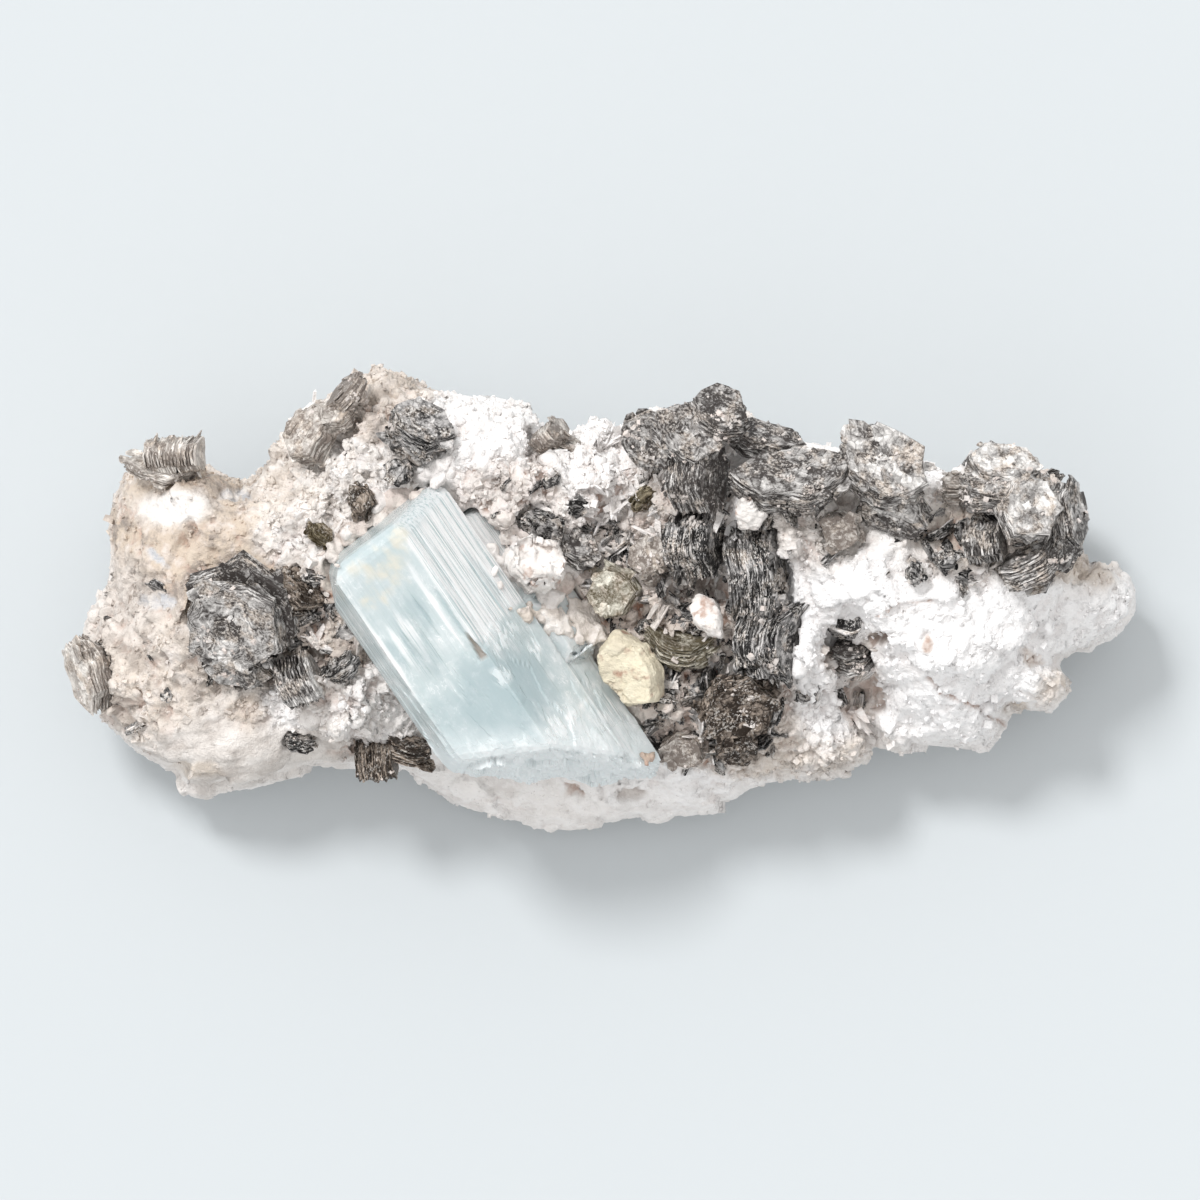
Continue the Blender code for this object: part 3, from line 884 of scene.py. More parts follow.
@functools.cache
def mica_group() -> NodeTree:
    """Makes the colour and gloss of layered mica, read at a place whose Z runs across the sheets.

    Returns:
        The group.
    """
    graph, given, result = new_group(
        "mica_layers",
        {
            "Place": "vector", "Shade": "value", "Face": "value", "Rings": "value",
            "Dark": "colour", "Light": "colour", "DustAndGlints": "value",
        },
        {"Base Color": "colour", "Roughness": "value", "Height": "value"},
    )
    place = given["Place"]
    wander = graph.noise(place, 0.5, 3.0)
    shift = graph.add("CombineXYZ", {"Z": graph.times(wander, 0.5)}).outputs[0]
    wavy = graph.add("VectorMath", {0: place, 1: shift}, operation="ADD").outputs[0]
    lines = graph.noise(graph.scaled(wavy, (0.5, 0.5, 4.0)), 1.0, 6.0, 0.74)
    streaks = graph.times(graph.range(lines, 0.475, 0.61), 0.85)
    patches = graph.noise(graph.scaled(place, (0.7, 0.7, 1.6)), 1.0, 5.0, 0.62)
    plated = graph.scaled(wavy, (0.8, 0.8, 2.0))
    cells = graph.add("TexVoronoi", {"Vector": plated, "Scale": 1.0})
    rims = graph.add("TexVoronoi", {"Vector": plated, "Scale": 1.0}, feature="DISTANCE_TO_EDGE")
    blocky = graph.plus(0.35, graph.times(cells.outputs["Color"], 0.6))
    blocky = graph.times(blocky, graph.range(rims.outputs["Distance"], -0.02, 0.07))
    face_tone = graph.times(graph.range(patches, 0.36, 0.6), blocky)
    level = graph.scaled(place, (1.0, 1.0, 0.0))
    reach = graph.add("VectorMath", {0: level}, operation="LENGTH").outputs["Value"]
    swell = graph.times(graph.noise(place, 0.35, 3.0), 15.0)
    ring_place = graph.plus(graph.times(reach, 2.4), swell)
    ring_inputs = {"W": ring_place, "Scale": 1.0, "Detail": 3.0}
    ring_noise = graph.add("TexNoise", ring_inputs, noise_dimensions="1D").outputs["Fac"]
    ring_tone = graph.range(ring_noise, 0.38, 0.66)
    ringed = graph.blend(given["Rings"], face_tone, ring_tone)
    sided = graph.blend(given["Face"], streaks, ringed)
    flecks = graph.noise(graph.scaled(place, (3.0, 3.0, 6.0)), 1.0, 3.0, 0.7)
    # Painted glints: fine light and dark flecks added to the tone, stronger in some patches.
    strength = graph.plus(0.25, graph.times(graph.range(wander, 0.44, 0.58), 1.7))
    sparkle = graph.times(graph.math("SUBTRACT", flecks, 0.49), strength)
    tone = graph.plus(graph.plus(sided, given["Shade"]), sparkle)
    warmth = graph.times(graph.range(wander, 0.47, 0.60), 0.75)
    pale = graph.mix(warmth, given["Light"], WARM_PEARL)
    colour = graph.mix(tone, given["Dark"], pale)
    # White flecks, partly albite dust and partly painted glints; they also make the surface rougher.
    dust_and_glint_noise = graph.plus(flecks, graph.times(graph.math("SUBTRACT", wander, 0.5), 0.5))
    dust = graph.times(graph.range(dust_and_glint_noise, 0.56, 0.66), given["DustAndGlints"])
    dust_and_glint_colour = graph.mix(dust, colour, DUST_AND_GLINT_WHITE)
    gloss = graph.plus(0.22, graph.times(patches, 0.3))
    gloss = graph.plus(gloss, graph.times(dust, 0.3))
    graph.feed(result, {"Base Color": dust_and_glint_colour, "Roughness": gloss, "Height": graph.plus(lines, flecks)})
    return graph.tree


class Tone(Enum):
    """The colours that mica comes in here."""

    CHARCOAL = MicaFinish("mica_charcoal", (0.010, 0.009, 0.009), (0.80, 0.77, 0.75), 0.6)
    SILVER = MicaFinish("mica_silver", (0.050, 0.043, 0.040), (0.94, 0.91, 0.88), 0.3)
    BROWN = MicaFinish("mica_brown", (0.025, 0.017, 0.012), (0.58, 0.48, 0.40), 0.4)
    OLIVE = MicaFinish("mica_olive", (0.05, 0.037, 0.018), (0.62, 0.54, 0.38), 0.25)
    TAN = MicaFinish("mica_tan", (0.18, 0.15, 0.13), (0.92, 0.87, 0.81), 0.2)
    GOLD = MicaFinish("mica_gold", (0.10, 0.082, 0.05), (0.90, 0.86, 0.75), 0.15)


@dataclass(frozen=True)
class BerylFinish:
    """Milky pale blue beryl, frosty where it is broken and stained along its flat end."""

    name: str = "aquamarine"
    blue: Colour = (0.56, 0.65, 0.66)
    milk: Colour = (0.99, 0.995, 0.995)
    frosted: Colour = (0.93, 0.98, 0.99)
    deep: Colour = (0.40, 0.505, 0.53)
    stain: Colour = (0.78, 0.74, 0.63)
    brown: Colour = (0.40, 0.36, 0.32)
    transmission: float = 0.22
    ior: float = 1.577
    absorption: Colour = (0.62, 0.86, 0.90)
    density: float = 5.0
    scatter: float = 0.3
    scatter_depth: float = 3.0
    scatter_reach: Triple = (0.9, 1.0, 1.0)
    bump: float = 0.8
    bump_height: float = 0.2

    def material(self) -> Material:
        """Builds the material.

        Returns:
            A material that reads the values milk, lined, deep, stain, frost, brown and in_crystal.
        """
        material, graph, shader = new_material(self.name)
        place = graph.local("in_crystal")
        lines = graph.noise(graph.scaled(place, (4.0, 4.0, 0.05)), 1.0, 5.0, 0.75)
        clouds = graph.noise(place, 0.45, 6.0, 0.66)
        lined = graph.value("lined")
        gaps = graph.times(lined, graph.range(lines, 0.50, 0.41))
        milk = graph.times(graph.value("milk"), graph.math("SUBTRACT", 1.0, gaps))
        milk = graph.plus(milk, graph.times(graph.range(clouds, 0.46, 0.68), 0.28))
        colour = graph.mix(milk, self.blue, self.milk)
        feather = graph.noise(graph.scaled(place, (1.0, 1.0, 0.55)), 0.9, 4.0, 0.6)
        thin = graph.math("ABSOLUTE", graph.math("SUBTRACT", feather, 0.5))
        veil = graph.times(graph.range(thin, 0.022, 0.0), graph.range(clouds, 0.48, 0.60))
        colour = graph.mix(graph.times(veil, 0.8), colour, self.milk)
        frost = graph.value("frost")
        hairlines = graph.times(graph.range(lines, 0.44, 0.38), lined)
        colour = graph.mix(graph.times(hairlines, 0.4), colour, self.deep)
        colour = graph.mix(graph.value("deep"), colour, self.deep)
        colour = graph.mix(graph.value("brown"), colour, self.brown)
        colour = graph.mix(graph.times(frost, 0.9), colour, self.frosted)
        stained = graph.times(graph.value("stain"), graph.range(clouds, 0.32, 0.52))
        colour = graph.mix(stained, colour, self.stain)
        roughness = graph.plus(0.12, graph.times(frost, 0.35))
        rough_bump = graph.times(graph.plus(frost, 0.25), graph.noise(place, 1.6, 4.0, 0.65))
        height = graph.plus(graph.times(lines, lined), rough_bump)
        graph.feed(shader, {
            "Base Color": colour,
            "Roughness": roughness,
            "Normal": graph.bump(height, self.bump, self.bump_height),
            "Transmission Weight": self.transmission,
            "Subsurface Weight": self.scatter,
            "Subsurface Scale": self.scatter_depth * MM,
            "Subsurface Radius": self.scatter_reach,
            "IOR": self.ior,
        })
        absorb = graph.add("VolumeAbsorption", {"Color": solid(self.absorption), "Density": self.density})
        graph.feed(graph.tree.nodes["Material Output"], {"Volume": absorb.outputs[0]})
        return material


# --- What grows where ---
@dataclass(frozen=True)
class Zone:
    """A soft patch of the rock: its place and reach in millimetres, how rough it is, how thickly
    knobs, grains, blades and flakes grow on it, and how strong each of its stains is."""

    x: float
    y: float
    reach_x: float
    reach_y: float
    relief: float = 1.0
    knobs: float = 0.5
    grains: float = 0.5
    cream: float = 0.2
    rust: float = 0.1
    snow: float = 0.3
    blades: float = 0.0
    flakes: float = 0.0
    grey: float = 0.0


ZONES = (
    Zone(-46, 7.8, 9, 7, 0.34, 0.03, 0.22, 1.2, 0.4, 0),
    Zone(-47.7, 10.3, 5.4, 2.2, 0.25, 0, 0.05, 0.2, 0, 0.35, grey=0.35),
    Zone(-49.3, -8.5, 6, 5.5, 0.7, 0.25, 0.4, 0.6, 0.25, 0.25, flakes=0.05),
    Zone(-53, 0, 4, 5, 0.8, 0.1, 0.3, 0.6, 0.25, 0.1, flakes=0.1, grey=0.3),
    Zone(-40.5, -17, 8, 5.2, 0.13, 0, 0, 0.4, 0, 0.3, grey=0.2),
    Zone(-39.5, -13.1, 2.4, 1.8, 1.1, 0.7, 0.8, 0.9, 0.6, 0),
    Zone(-36.2, -12.9, 2.6, 2.4, 1.1, 1.2, 0.8, 0, 0.1, 1),
    Zone(-26.3, -12, 7, 2.8, 1.2, 0.9, 0.6, 0.25, 0.15, 0.9, blades=0.02),
    Zone(-31.5, -4.5, 2.6, 6, 1.3, 0.6, 0.8, 0.5, 0.8, 0.2, blades=0.6, flakes=0.6),
    Zone(-33.6, 7.2, 6, 3, 1.1, 0.5, 0.9, 0.3, 0.1, 0.95, blades=0.5, flakes=0.02),
    Zone(-35.5, 12.6, 5.5, 4.5, 0.9, 0.3, 0.8, 0.55, 0.08, 0.5),
    Zone(-28.4, 13.5, 5, 5.5, 1.2, 0.8, 1.1, 0.35, 0.05, 0.9, blades=0.3),
    Zone(-23.3, 24.2, 4.6, 2.3, 0.8, 1, 0.6, 0.65, 0.25, 0.2),
    Zone(-25.5, 20, 3, 2, 0.9, 0.4, 0.9, 0.5, 0.6, 0.2),
    Zone(-13.4, 19.2, 6, 5, 0.62, 1.4, 0.6, 0.08, 0.05, 0.9),
    Zone(-9.5, 11.8, 4.6, 3.8, 1.3, 0.9, 1.2, 0.3, 0.6, 0.8, blades=0.1, flakes=0.15),
    Zone(-0.6, 15.7, 3.8, 4.8, 0.75, 1.6, 0.6, 0.12, 0.15, 0.95, blades=0.1),
    Zone(2.5, 11, 2.8, 3.6, 1.2, 0.4, 0.6, 0.2, 0.5, 0.8, blades=1.8),
    Zone(5.6, 6.2, 5, 6, 1.4, 0.6, 1, 0.15, 1, 0.2, blades=0.9, flakes=1.1),
    Zone(7, -2.8, 6, 3, 1.3, 0.6, 0.8, 0.4, 1, 0.1, blades=0.4, flakes=1),
    Zone(13.5, -11, 7, 6.5, 1.3, 0.5, 0.7, 0.2, 1, 0.05, blades=0.1, flakes=1.9),
    Zone(24.9, -11.2, 3, 7.5, 1, 0.9, 0.6, 0, 0.05, 1),
    Zone(21.3, -17.4, 9, 3, 0.9, 0.8, 0.7, 0.65, 0.2, 0.5, flakes=0.05),
    Zone(39.2, -3.4, 18, 10.5, 0.42, 0.12, 0.3, 0, 0, 1, grey=0.03),
    Zone(38, -11.2, 6, 3, 0.25, 0, 0.1, 0, 0, 1, grey=0.1),
    Zone(53.8, 4.5, 3.6, 3, 0.8, 0.6, 0.5, 0.85, 0.3, 0.1),
    Zone(48, 8, 5.5, 4.5, 1, 0.3, 0.3, 0.4, 0.7, 0.1, flakes=2.2),
    Zone(28.5, -8.5, 2.6, 4.5, 1.2, 0.2, 0.5, 0.2, 0.9, 0.3, blades=1.2, flakes=2),
    Zone(41, 6, 6.5, 4, 1.1, 0.6, 0.8, 0.75, 0.45, 0.2, flakes=1.3),
    Zone(52, -10, 3, 2, 0.6, 0.5, 0.3, 0.7, 0.1, 0.3),
    Zone(26, 8, 5, 4, 0.9, 0.6, 0.6, 0.4, 0.2, 0.8, flakes=0.2),
    Zone(-11, -22.4, 13, 4, 0.15, 0.1, 0, 0.15, 0, 0.75),
    Zone(58, 8, 4, 4, 0.5, 0.2, 0.3, 0, 0, 1),
    Zone(8, -22.2, 9, 2.6, 0.35, 0.4, 0.1, 0, 0, 1),
)
# The rock's lower sides are whiter, partly their own white and partly painted light for faces turned away
# from the sun.
SIDES = Zone(0, 0, 1, 1, 0.22, 0.1, 0.02, 0.15, 0.03, 0.8)
PLAIN = Zone(0, 0, 1, 1)
PLAIN_WEIGHT = 1e-5
ZONE_FALL = 2.2


class Stain(Enum):
    """What a mark leaves on the rock, named as the finish reads it. The dark one is painted shade in its pit.
    """

    CREAM = "cream"
    RUST = "rust"
    SNOW = "snow"
    GREY = "grey"
    # Painted shade: dark brown in the pits that these marks cut.
    PIT_SHADE = "dark"


@dataclass(frozen=True)
class Mark:
    """A stain, or painted shade when dark, on the rock; it may lie in a pit. Its long side is turned by some
    degrees.
    """

    x: float
    y: float
    reach_x: float
    reach_y: float
    turn: float
    stain: Stain
    strength: float
    depth: float = 0.0

    def weight(self, flat: Array) -> Array:
        """Spreads the mark over the rock.

        Args:
            flat: X and Y of each spot.

        Returns:
            How much of the mark lies at each spot, from 0 to 1.
        """
        x, y = flat[:, 0] - self.x, flat[:, 1] - self.y
        turn = math.radians(self.turn)
        along = (x * math.cos(turn) + y * math.sin(turn)) / self.reach_x
        beside = (y * math.cos(turn) - x * math.sin(turn)) / self.reach_y
        return 1 - smooth_step(np.hypot(along, beside), 0.6, 1.15)


MARKS = (
    Mark(-47.7, 10.3, 4.8, 2.2, 4, Stain.SNOW, 0.25),
    Mark(25.5, -6.2, 0.9, 2, 0, Stain.PIT_SHADE, 0.9, 1.6),
    Mark(29.3, -11.4, 2, 3.2, -10, Stain.RUST, 0.7, 0.5),
    Mark(30.5, -5, 1.6, 0.8, 20, Stain.PIT_SHADE, 0.8, 1.2),
    Mark(0.3, 8.2, 0.6, 0.6, 0, Stain.PIT_SHADE, 1, 1.2),
    Mark(-48.7, -6.7, 0.5, 1.3, 10, Stain.PIT_SHADE, 0.8, 0.5),
    Mark(-37.3, -8.4, 0.9, 2.6, 10, Stain.PIT_SHADE, 0.7, 1),
    Mark(-31.5, -2.6, 1.1, 2.6, -15, Stain.RUST, 1, 1.2),
    Mark(-32.3, -7, 1.2, 1.8, 20, Stain.PIT_SHADE, 0.7, 1.2),
    Mark(-26.3, 8.6, 1.8, 1.2, 30, Stain.RUST, 1, 0.8),
    Mark(8.6, 0.4, 2.4, 1.8, 20, Stain.PIT_SHADE, 0.8, 1.4),
    Mark(12, 2.6, 1.6, 2.4, 0, Stain.PIT_SHADE, 0.7, 1.2),
    Mark(3.6, -22, 1.7, 0.7, 5, Stain.PIT_SHADE, 0.9, 1),
    Mark(-3.2, -21.8, 0.9, 0.5, 40, Stain.RUST, 0.8, 0.4),
    Mark(36.6, -5, 0.7, 1, 10, Stain.RUST, 0.75),
    Mark(48.5, -6.7, 0.9, 0.8, 0, Stain.RUST, 0.4, 0.5),
    Mark(47, -12.3, 1.5, 1, 20, Stain.CREAM, 1),
    Mark(-26, -17.2, 5, 1, 0, Stain.RUST, 0.6, 0.6),
    Mark(-45.5, -19.4, 3.4, 1.3, 0, Stain.CREAM, 0.7),
    Mark(-41, 11.8, 2, 0.7, 0, Stain.GREY, 0.8, 0.2),
    Mark(-50, 4.8, 1.8, 0.6, -40, Stain.GREY, 0.9, 0.2),
    Mark(-49.8, -0.2, 2.2, 0.9, 0, Stain.GREY, 0.9, 0.2),
)


@dataclass(frozen=True)
class Crack:
    """A thin rusty crack through a row of spots."""

    spots: tuple[tuple[float, float], ...]
    reach: float = 0.17
    depth: float = 0.45

    def nearness(self, flat: Array) -> Array:
        """Measures how near spots lie to the crack.

        Args:
            flat: X and Y of each spot.

        Returns:
            0 away from the crack, 1 on it.
        """
        nearest = np.full(len(flat), np.inf)
        for start, end in itertools.pairwise(np.array(self.spots)):
            along = end - start
            share = np.clip((flat - start) @ along / (along @ along), 0, 1)
            nearest = np.minimum(nearest, np.linalg.norm(flat - start - share[:, None] * along, axis=1))
        return np.exp(-((nearest / self.reach) ** 2))


CRACKS = (
    Crack(((36.4, -9.3), (39.8, -11.5), (43.1, -12.5), (45.4, -14.0))),
    Crack(((-3.9, -21.3), (-3.0, -22.0), (-2.2, -22.6))),
    Crack(((30.8, -2.0), (33.5, -0.6), (37.0, -0.4)), 0.12, 0.2),
)


ZONE_WANDER = (1.6, 4.0)
STAIN_WANDER = (0.5, 1.6)


def wandering(points: Array, reach: float, size: float) -> Array:
    """X and Y of each place, shifted about so that patches get uneven outlines."""
    shifts = [Field(31).rough(points + start, size, 2) for start in (0.0, 40.0)]
    return points[:, :2] + reach * np.stack(shifts, axis=1)


def topness(points: Array) -> Array:
    """How far each place belongs to the rock's top, from 0 low on its sides to 1."""
    return smooth_step(points[:, 2] + 3.5 * Field(33).rough(points, 5.0), 5.0, 16.0)


def zone_values(points: Array, names: Iterable[str]) -> dict[str, Array]:
    """Qualities of the rock at many places.

    Args:
        points: Places, one row each.
        names: Fields of Zone from relief on.

    Returns:
        Each quality's name and its numbers, blended from the zones around each place.
    """
    x, y = wandering(points, *ZONE_WANDER).T
    total = np.full(len(points), PLAIN_WEIGHT)
    result = {name: total * getattr(PLAIN, name) for name in names}
    for zone in ZONES:
        away = ((x - zone.x) / zone.reach_x) ** 2 + ((y - zone.y) / zone.reach_y) ** 2
        weight = np.exp(-ZONE_FALL * away)
        total = total + weight
        for name in result:
            result[name] += weight * getattr(zone, name)
    near_top = topness(points)
    return {
        name: getattr(SIDES, name) + (value / total - getattr(SIDES, name)) * near_top
        for name, value in result.items()
    }


def plain_stains(count: int, cream: float, rust: Any, snow: float, grey: float = 0.0) -> dict[str, Array]:
    """The albite finish's values for a piece of one colour, whose rust may be uneven."""
    shares = {"cream": cream, "rust": rust, "snow": snow, "grey": grey, "dark": 0.0}
    return {name: np.full(count, share, float) for name, share in shares.items()}


def grain_stains(places: Array, corners: int) -> dict[str, Array]:
    """The albite finish's values for grains, which take the colour of the rock they grow on.

    Args:
        places: Where each grain grows.
        corners: How many corners each grain has.

    Returns:
        Each value's name and its numbers, corner by corner.
    """
    values = stains(places, np.zeros(len(places)))
    # Grains in a pit take only some of its painted shade.
    values["dark"] *= 0.35
    return {name: np.repeat(value, corners) for name, value in values.items()}


def stains(points: Array, hollow: Array) -> dict[str, Array]:
    """The values that the albite finish reads.

    Args:
        points: Places on the rock.
        hollow: How deep in a hollow each lies, from 0 to 1. Rust grows there, partly as painted shade.

    Returns:
        Each value's name and its numbers.
    """
    values = zone_values(points, ("cream", "rust", "snow", "grey"))
    values["dark"] = np.zeros(len(points))
    # Rust is made stronger in the relief's hollows: partly rust, partly painted shade that darkens them.
    values["rust"] = np.clip(values["rust"] * (0.35 + 1.3 * hollow) + 0.12 * hollow, 0, 1)
    flat = wandering(points, *STAIN_WANDER)
    near_top = topness(points)
    for mark in MARKS:
        weight = mark.weight(flat) * near_top
        for name in values:
            values[name] = values[name] * (1 - weight)
        values[mark.stain.value] += weight * mark.strength
    for crack in CRACKS:
        values["rust"] = np.maximum(values["rust"], crack.nearness(flat))
    return values


# --- Rock ---
BARE_SHARES = {Stain.GREY: 0.97, Stain.SNOW: 0.97, Stain.PIT_SHADE: 0.5}


@dataclass
class AlbiteRock:
    """The albite mass: lumps, broken faces, sugar grains and upright blades."""

    node: str = "albite_matrix"
    voxel: float = 0.345
    inset: float = 0.3
    lump_height: float = 0.5
    lump_width: float = 7.0
    knob_height: float = 0.6
    knob_width: float = 1.7
    broad: Facets = Facets(4, 7.0, 0.9, 0.8)
    crags: Facets = Facets(5, 2.9, 1.0)
    chips: Facets = Facets(8, 1.3, 0.55)
    specks: Facets = Facets(10, 0.8, 0.36)
    crystal_margin: float = 1.5
    cut: float = 20.0
    grain_count: int = 9500
    knob_count: int = 1000
    blade_count: int = 420
    blades_in_sheaf: int = 6
    finish: AlbiteFinish = AlbiteFinish()
    surface: Shape | None = None
    material: Material | None = None
    room: Array | None = None
    ground: Ground | None = None

    def beside_crystal(self, points: Array) -> Array:
        """How far the aquamarine lets the rock's relief rise.

        Args:
            points: Places on the rock.

        Returns:
            0 against the aquamarine, 1 away from it.
        """
        ground = ground_of("aquamarine_crystal")
        low, high = (np.array(corner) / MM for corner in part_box("aquamarine_crystal"))
        near = np.all((points > low - self.crystal_margin) & (points < high + self.crystal_margin), axis=1)
        share = np.ones(len(points))
        for index in np.flatnonzero(near):
            share[index] = -ground.depth(points[index]) / self.crystal_margin
        return smooth_step(share, 0.2, 1.0)

    def build(self) -> None:
        """Makes the rock and everything that is grown on it."""
        self.material = self.finish.material()
        shape = evenly(solid_copy(self.node), self.voxel, 3)
        points, normals = shape.points, shape.normals()
        zone = zone_values(points, ("relief", "knobs"))
        bent = points + 0.5 * Field(6).waves(points, 1.2)[:, None]
        detail = self.crags.heights(bent) + self.chips.heights(points) + self.specks.heights(points)
        rounded = Field(12).domes(bent, self.knob_width) - 0.5
        detail = zone["relief"] * (detail + self.knob_height * zone["knobs"] * rounded)
        self.room = self.beside_crystal(points)
        high_up = smooth_step(points[:, 2], 0.3, 3.0)
        large = self.lump_height * Field(3).rough(points, self.lump_width) + self.broad.heights(bent)
        rise = (large + detail - self.inset) * high_up * self.room
        flat = wandering(points, *STAIN_WANDER)
        above = smooth_step(points[:, 2], 8.0, 12.0) * smooth_step(normals[:, 2], -0.2, 0.2) * self.room
        for mark in MARKS:
            rise -= mark.depth * mark.weight(flat) * above
        for crack in CRACKS:
            rise -= crack.depth * crack.nearness(flat)
        moved = points + normals * rise[:, None]
        moved[:, 2] = np.maximum(moved[:, 2], 0.0)
        hollow = smooth_step(-(detail / np.maximum(zone["relief"], 0.3)), 0.1, 0.7)
        self.surface = Shape(moved, shape.faces, stains(points, hollow))
        self.ground = Ground(moved, shape.faces)
        self.show_part("albite_rock_left", -np.inf, -self.cut)
        self.show_part("albite_rock_middle", -self.cut, self.cut)
        self.show_part("albite_rock_right", self.cut, np.inf)
        self.grow_grains()
        self.grow_knobs()
        self.grow_blades()

    def show_part(self, name: str, low: float, high: float) -> None:
        """Makes an object of the faces between two places along X.

        Args:
            name: The object's name.
            low: Where it begins.
            high: Where it ends.
        """
        middle = self.surface.centres()[:, 0]
        part = self.surface.part((middle >= low) & (middle < high))
        rock = make_object(name, part, self.material, True)
        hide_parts(self.node)

    def openness(self) -> Array:
        """How openly each face of the rock looks up and away from the aquamarine, from 0 to 1."""
        room = self.room[self.surface.faces].min(axis=1)
        return smooth_step(self.surface.upness(), -0.35, 0.35) * room

    def spread(self, name: str, count: int, clump: float, rng: Draws) -> tuple[Array, Array]:
        """Picks places for one kind of growth.

        Args:
            name: The zone quality that says how thickly it grows.
            count: How many places.
            clump: Width of its clumps.
            rng: The random draws.

        Returns:
            The places and the surface normals there.
        """
        centres = self.surface.centres()
        clumps = smooth_step(Field(12).rough(centres, clump, 2), -0.3, 0.4)
        density = zone_values(centres, [name])[name] * (0.1 + clumps) * self.openness()
        flat = wandering(centres, *STAIN_WANDER)
        for mark in MARKS:
            density *= 1 - BARE_SHARES.get(mark.stain, 0.0) * mark.weight(flat)
        return scattered(self.surface, density, count, rng)

    def grow_grains(self) -> None:
        """Scatters sugar grains over the rock."""
        rng = np.random.default_rng(11)
        count = self.grain_count
        places, normals = self.spread("grains", count, 2.4, rng)
        size = draw_sizes(rng, 0.13, 0.07, 0.42, count)
        halves = size[:, None] * rng.uniform(0.55, 1.6, (count, 3))
        shape = blocks(places + normals * size[:, None] * 0.2, random_turns(count, rng), halves, 0.3, rng)
        shape.values = grain_stains(places, len(BLOCK_CORNERS))
        make_object("albite_grains", shape, self.material, False)

    def grow_knobs(self) -> None:
        """Scatters stubby feldspar crystals over the rock."""
        rng = np.random.default_rng(13)
        count = self.knob_count
        places, normals = self.spread("knobs", count, 3.4, rng)
        size = draw_sizes(rng, 0.36, 0.15, 1.3, count, 0.5)
        shape = knobs(places - normals * size[:, None] * 0.15, size, rng)
        shape.values = grain_stains(places, len(shape.points) // count)
        make_object("albite_stubs", shape, self.material, True)

    def grow_blades(self) -> None:
        """Stands sheaves of thin albite blades on the rock."""
        rng = np.random.default_rng(21)
        each = self.blades_in_sheaf
        sheaves = self.blade_count // each
        places, normals = self.spread("blades", sheaves, 3.0, rng)
        places = np.repeat(places, each, axis=0) + rng.normal(0, 0.35, (sheaves * each, 3))
        normals = unit(np.repeat(normals, each, axis=0) + rng.normal(0, 0.6, (sheaves * each, 3)))
        length = rng.uniform(0.7, 1.7, len(places))
        width = length * rng.uniform(0.22, 0.5, len(places))
        halves = np.stack([length, width, rng.uniform(0.12, 0.28, len(places))], axis=1)
        shape = blocks(places + normals * length[:, None] * 0.5, turns_along(normals, rng), halves, 0.45, rng)
        shape.values = grain_stains(places, len(BLOCK_CORNERS))
        shape.values["snow"] = np.clip(shape.values["snow"] + 0.5, 0, 1)
        shape.values["rust"] *= 0.4
        make_object("albite_blades", shape, self.material, False)


@dataclass
class FeldsparPiece:
    """A feldspar crystal or crust that stands clear of the rock."""

    node: str
    slot: str
    finish: AlbiteFinish
    cream: float
    snow: float
    relief: float = 0.5
    facet: float = 2.4
    inset: float = 0.3
    lift: float = 0.0
    grain: float = 0.3
    voxel: float = 0.19

    def build(self) -> None:
        """Makes the piece."""
        shape = evenly(solid_copy(self.node), self.voxel, 1)
        points = shape.points
        bent = points + 0.5 * Field(40).waves(points, 1.0)[:, None]
        rise = Field(41).chips(bent, self.facet) + 0.5 * Field(42).chips(bent, self.facet * 0.4)
        rise += self.grain * Field(43).chips(points, 0.5)
        shape.points = points + shape.normals() * (self.relief * rise - self.inset)[:, None]
        shape.points[:, 2] += self.lift
        spots = Field(44).rough(points, 1.8)
        # Darker rust-brown in the low parts of the relief, plus rust spots.
        rust = smooth_step(-rise, 0.3, 0.9) * 0.4 + 0.9 * smooth_step(spots, 0.18, 0.36)
        shape.values = plain_stains(len(points), self.cream, rust, self.snow)
        piece = make_object(self.node + "_surface", shape, self.finish.material(), True)
        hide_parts(self.node)


# --- Mica ---
@dataclass(frozen=True)
class Book:
    """A stack of mica sheets: its middle, the sheets' half width and half height, its thickness, the
    tilt of its axis from upright and the heading that it leans towards in degrees, how light it is,
    how much it bows, how clearly its face shows growth rings, and how crumpled it is."""

    x: float
    y: float
    z: float
    half_width: float
    half_height: float
    thickness: float
    tilt: float
    lean: float
    light: float = 0.0
    bow: float = 0.0
    rings: float = 0.0
    crumple: float = 1.0

    def axes(self) -> Array:
        """Works out the book's own frame.

        Returns:
            Its axes as rows: level, up the sheets, and across them.
        """
        tilt, lean = math.radians(self.tilt), math.radians(self.lean)
        axis = np.array([math.sin(tilt) * math.cos(lean), math.sin(tilt) * math.sin(lean), math.cos(tilt)])
        level = np.array([-math.sin(lean), math.cos(lean), 0.0])
        return np.stack([level, np.cross(axis, level), axis])

    def inside(self, points: Array) -> Array:
        """Places in the book's own frame."""
        return (points - (self.x, self.y, self.z)) @ self.axes().T

    def outside(self, local: Array) -> Array:
        """Places in the specimen's frame from places in the book's own."""
        return local @ self.axes() + (self.x, self.y, self.z)

    def offset(self) -> Array:
        """A shift that gives each book its own part of the pattern."""
        return np.array([0.0, 0.0, 3.1 * self.x + 1.7 * self.y])

    def bowed(self, local: Array) -> Array:
        """How far the book's bow lifts each place in its own frame."""
        return self.bow * (local[:, 0] / self.half_width) ** 2

    def pattern_place(self, local: Array) -> Array:
        """Where the mica pattern is read: the book's own place, with its bow taken out."""
        return np.column_stack([local[:, :2], local[:, 2] - self.bowed(local)]) + self.offset()


@dataclass(frozen=True)
class BookGroup:
    """Books that grew into each other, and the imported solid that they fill."""

    node: str
    tone: Tone
    books: tuple[Book, ...]


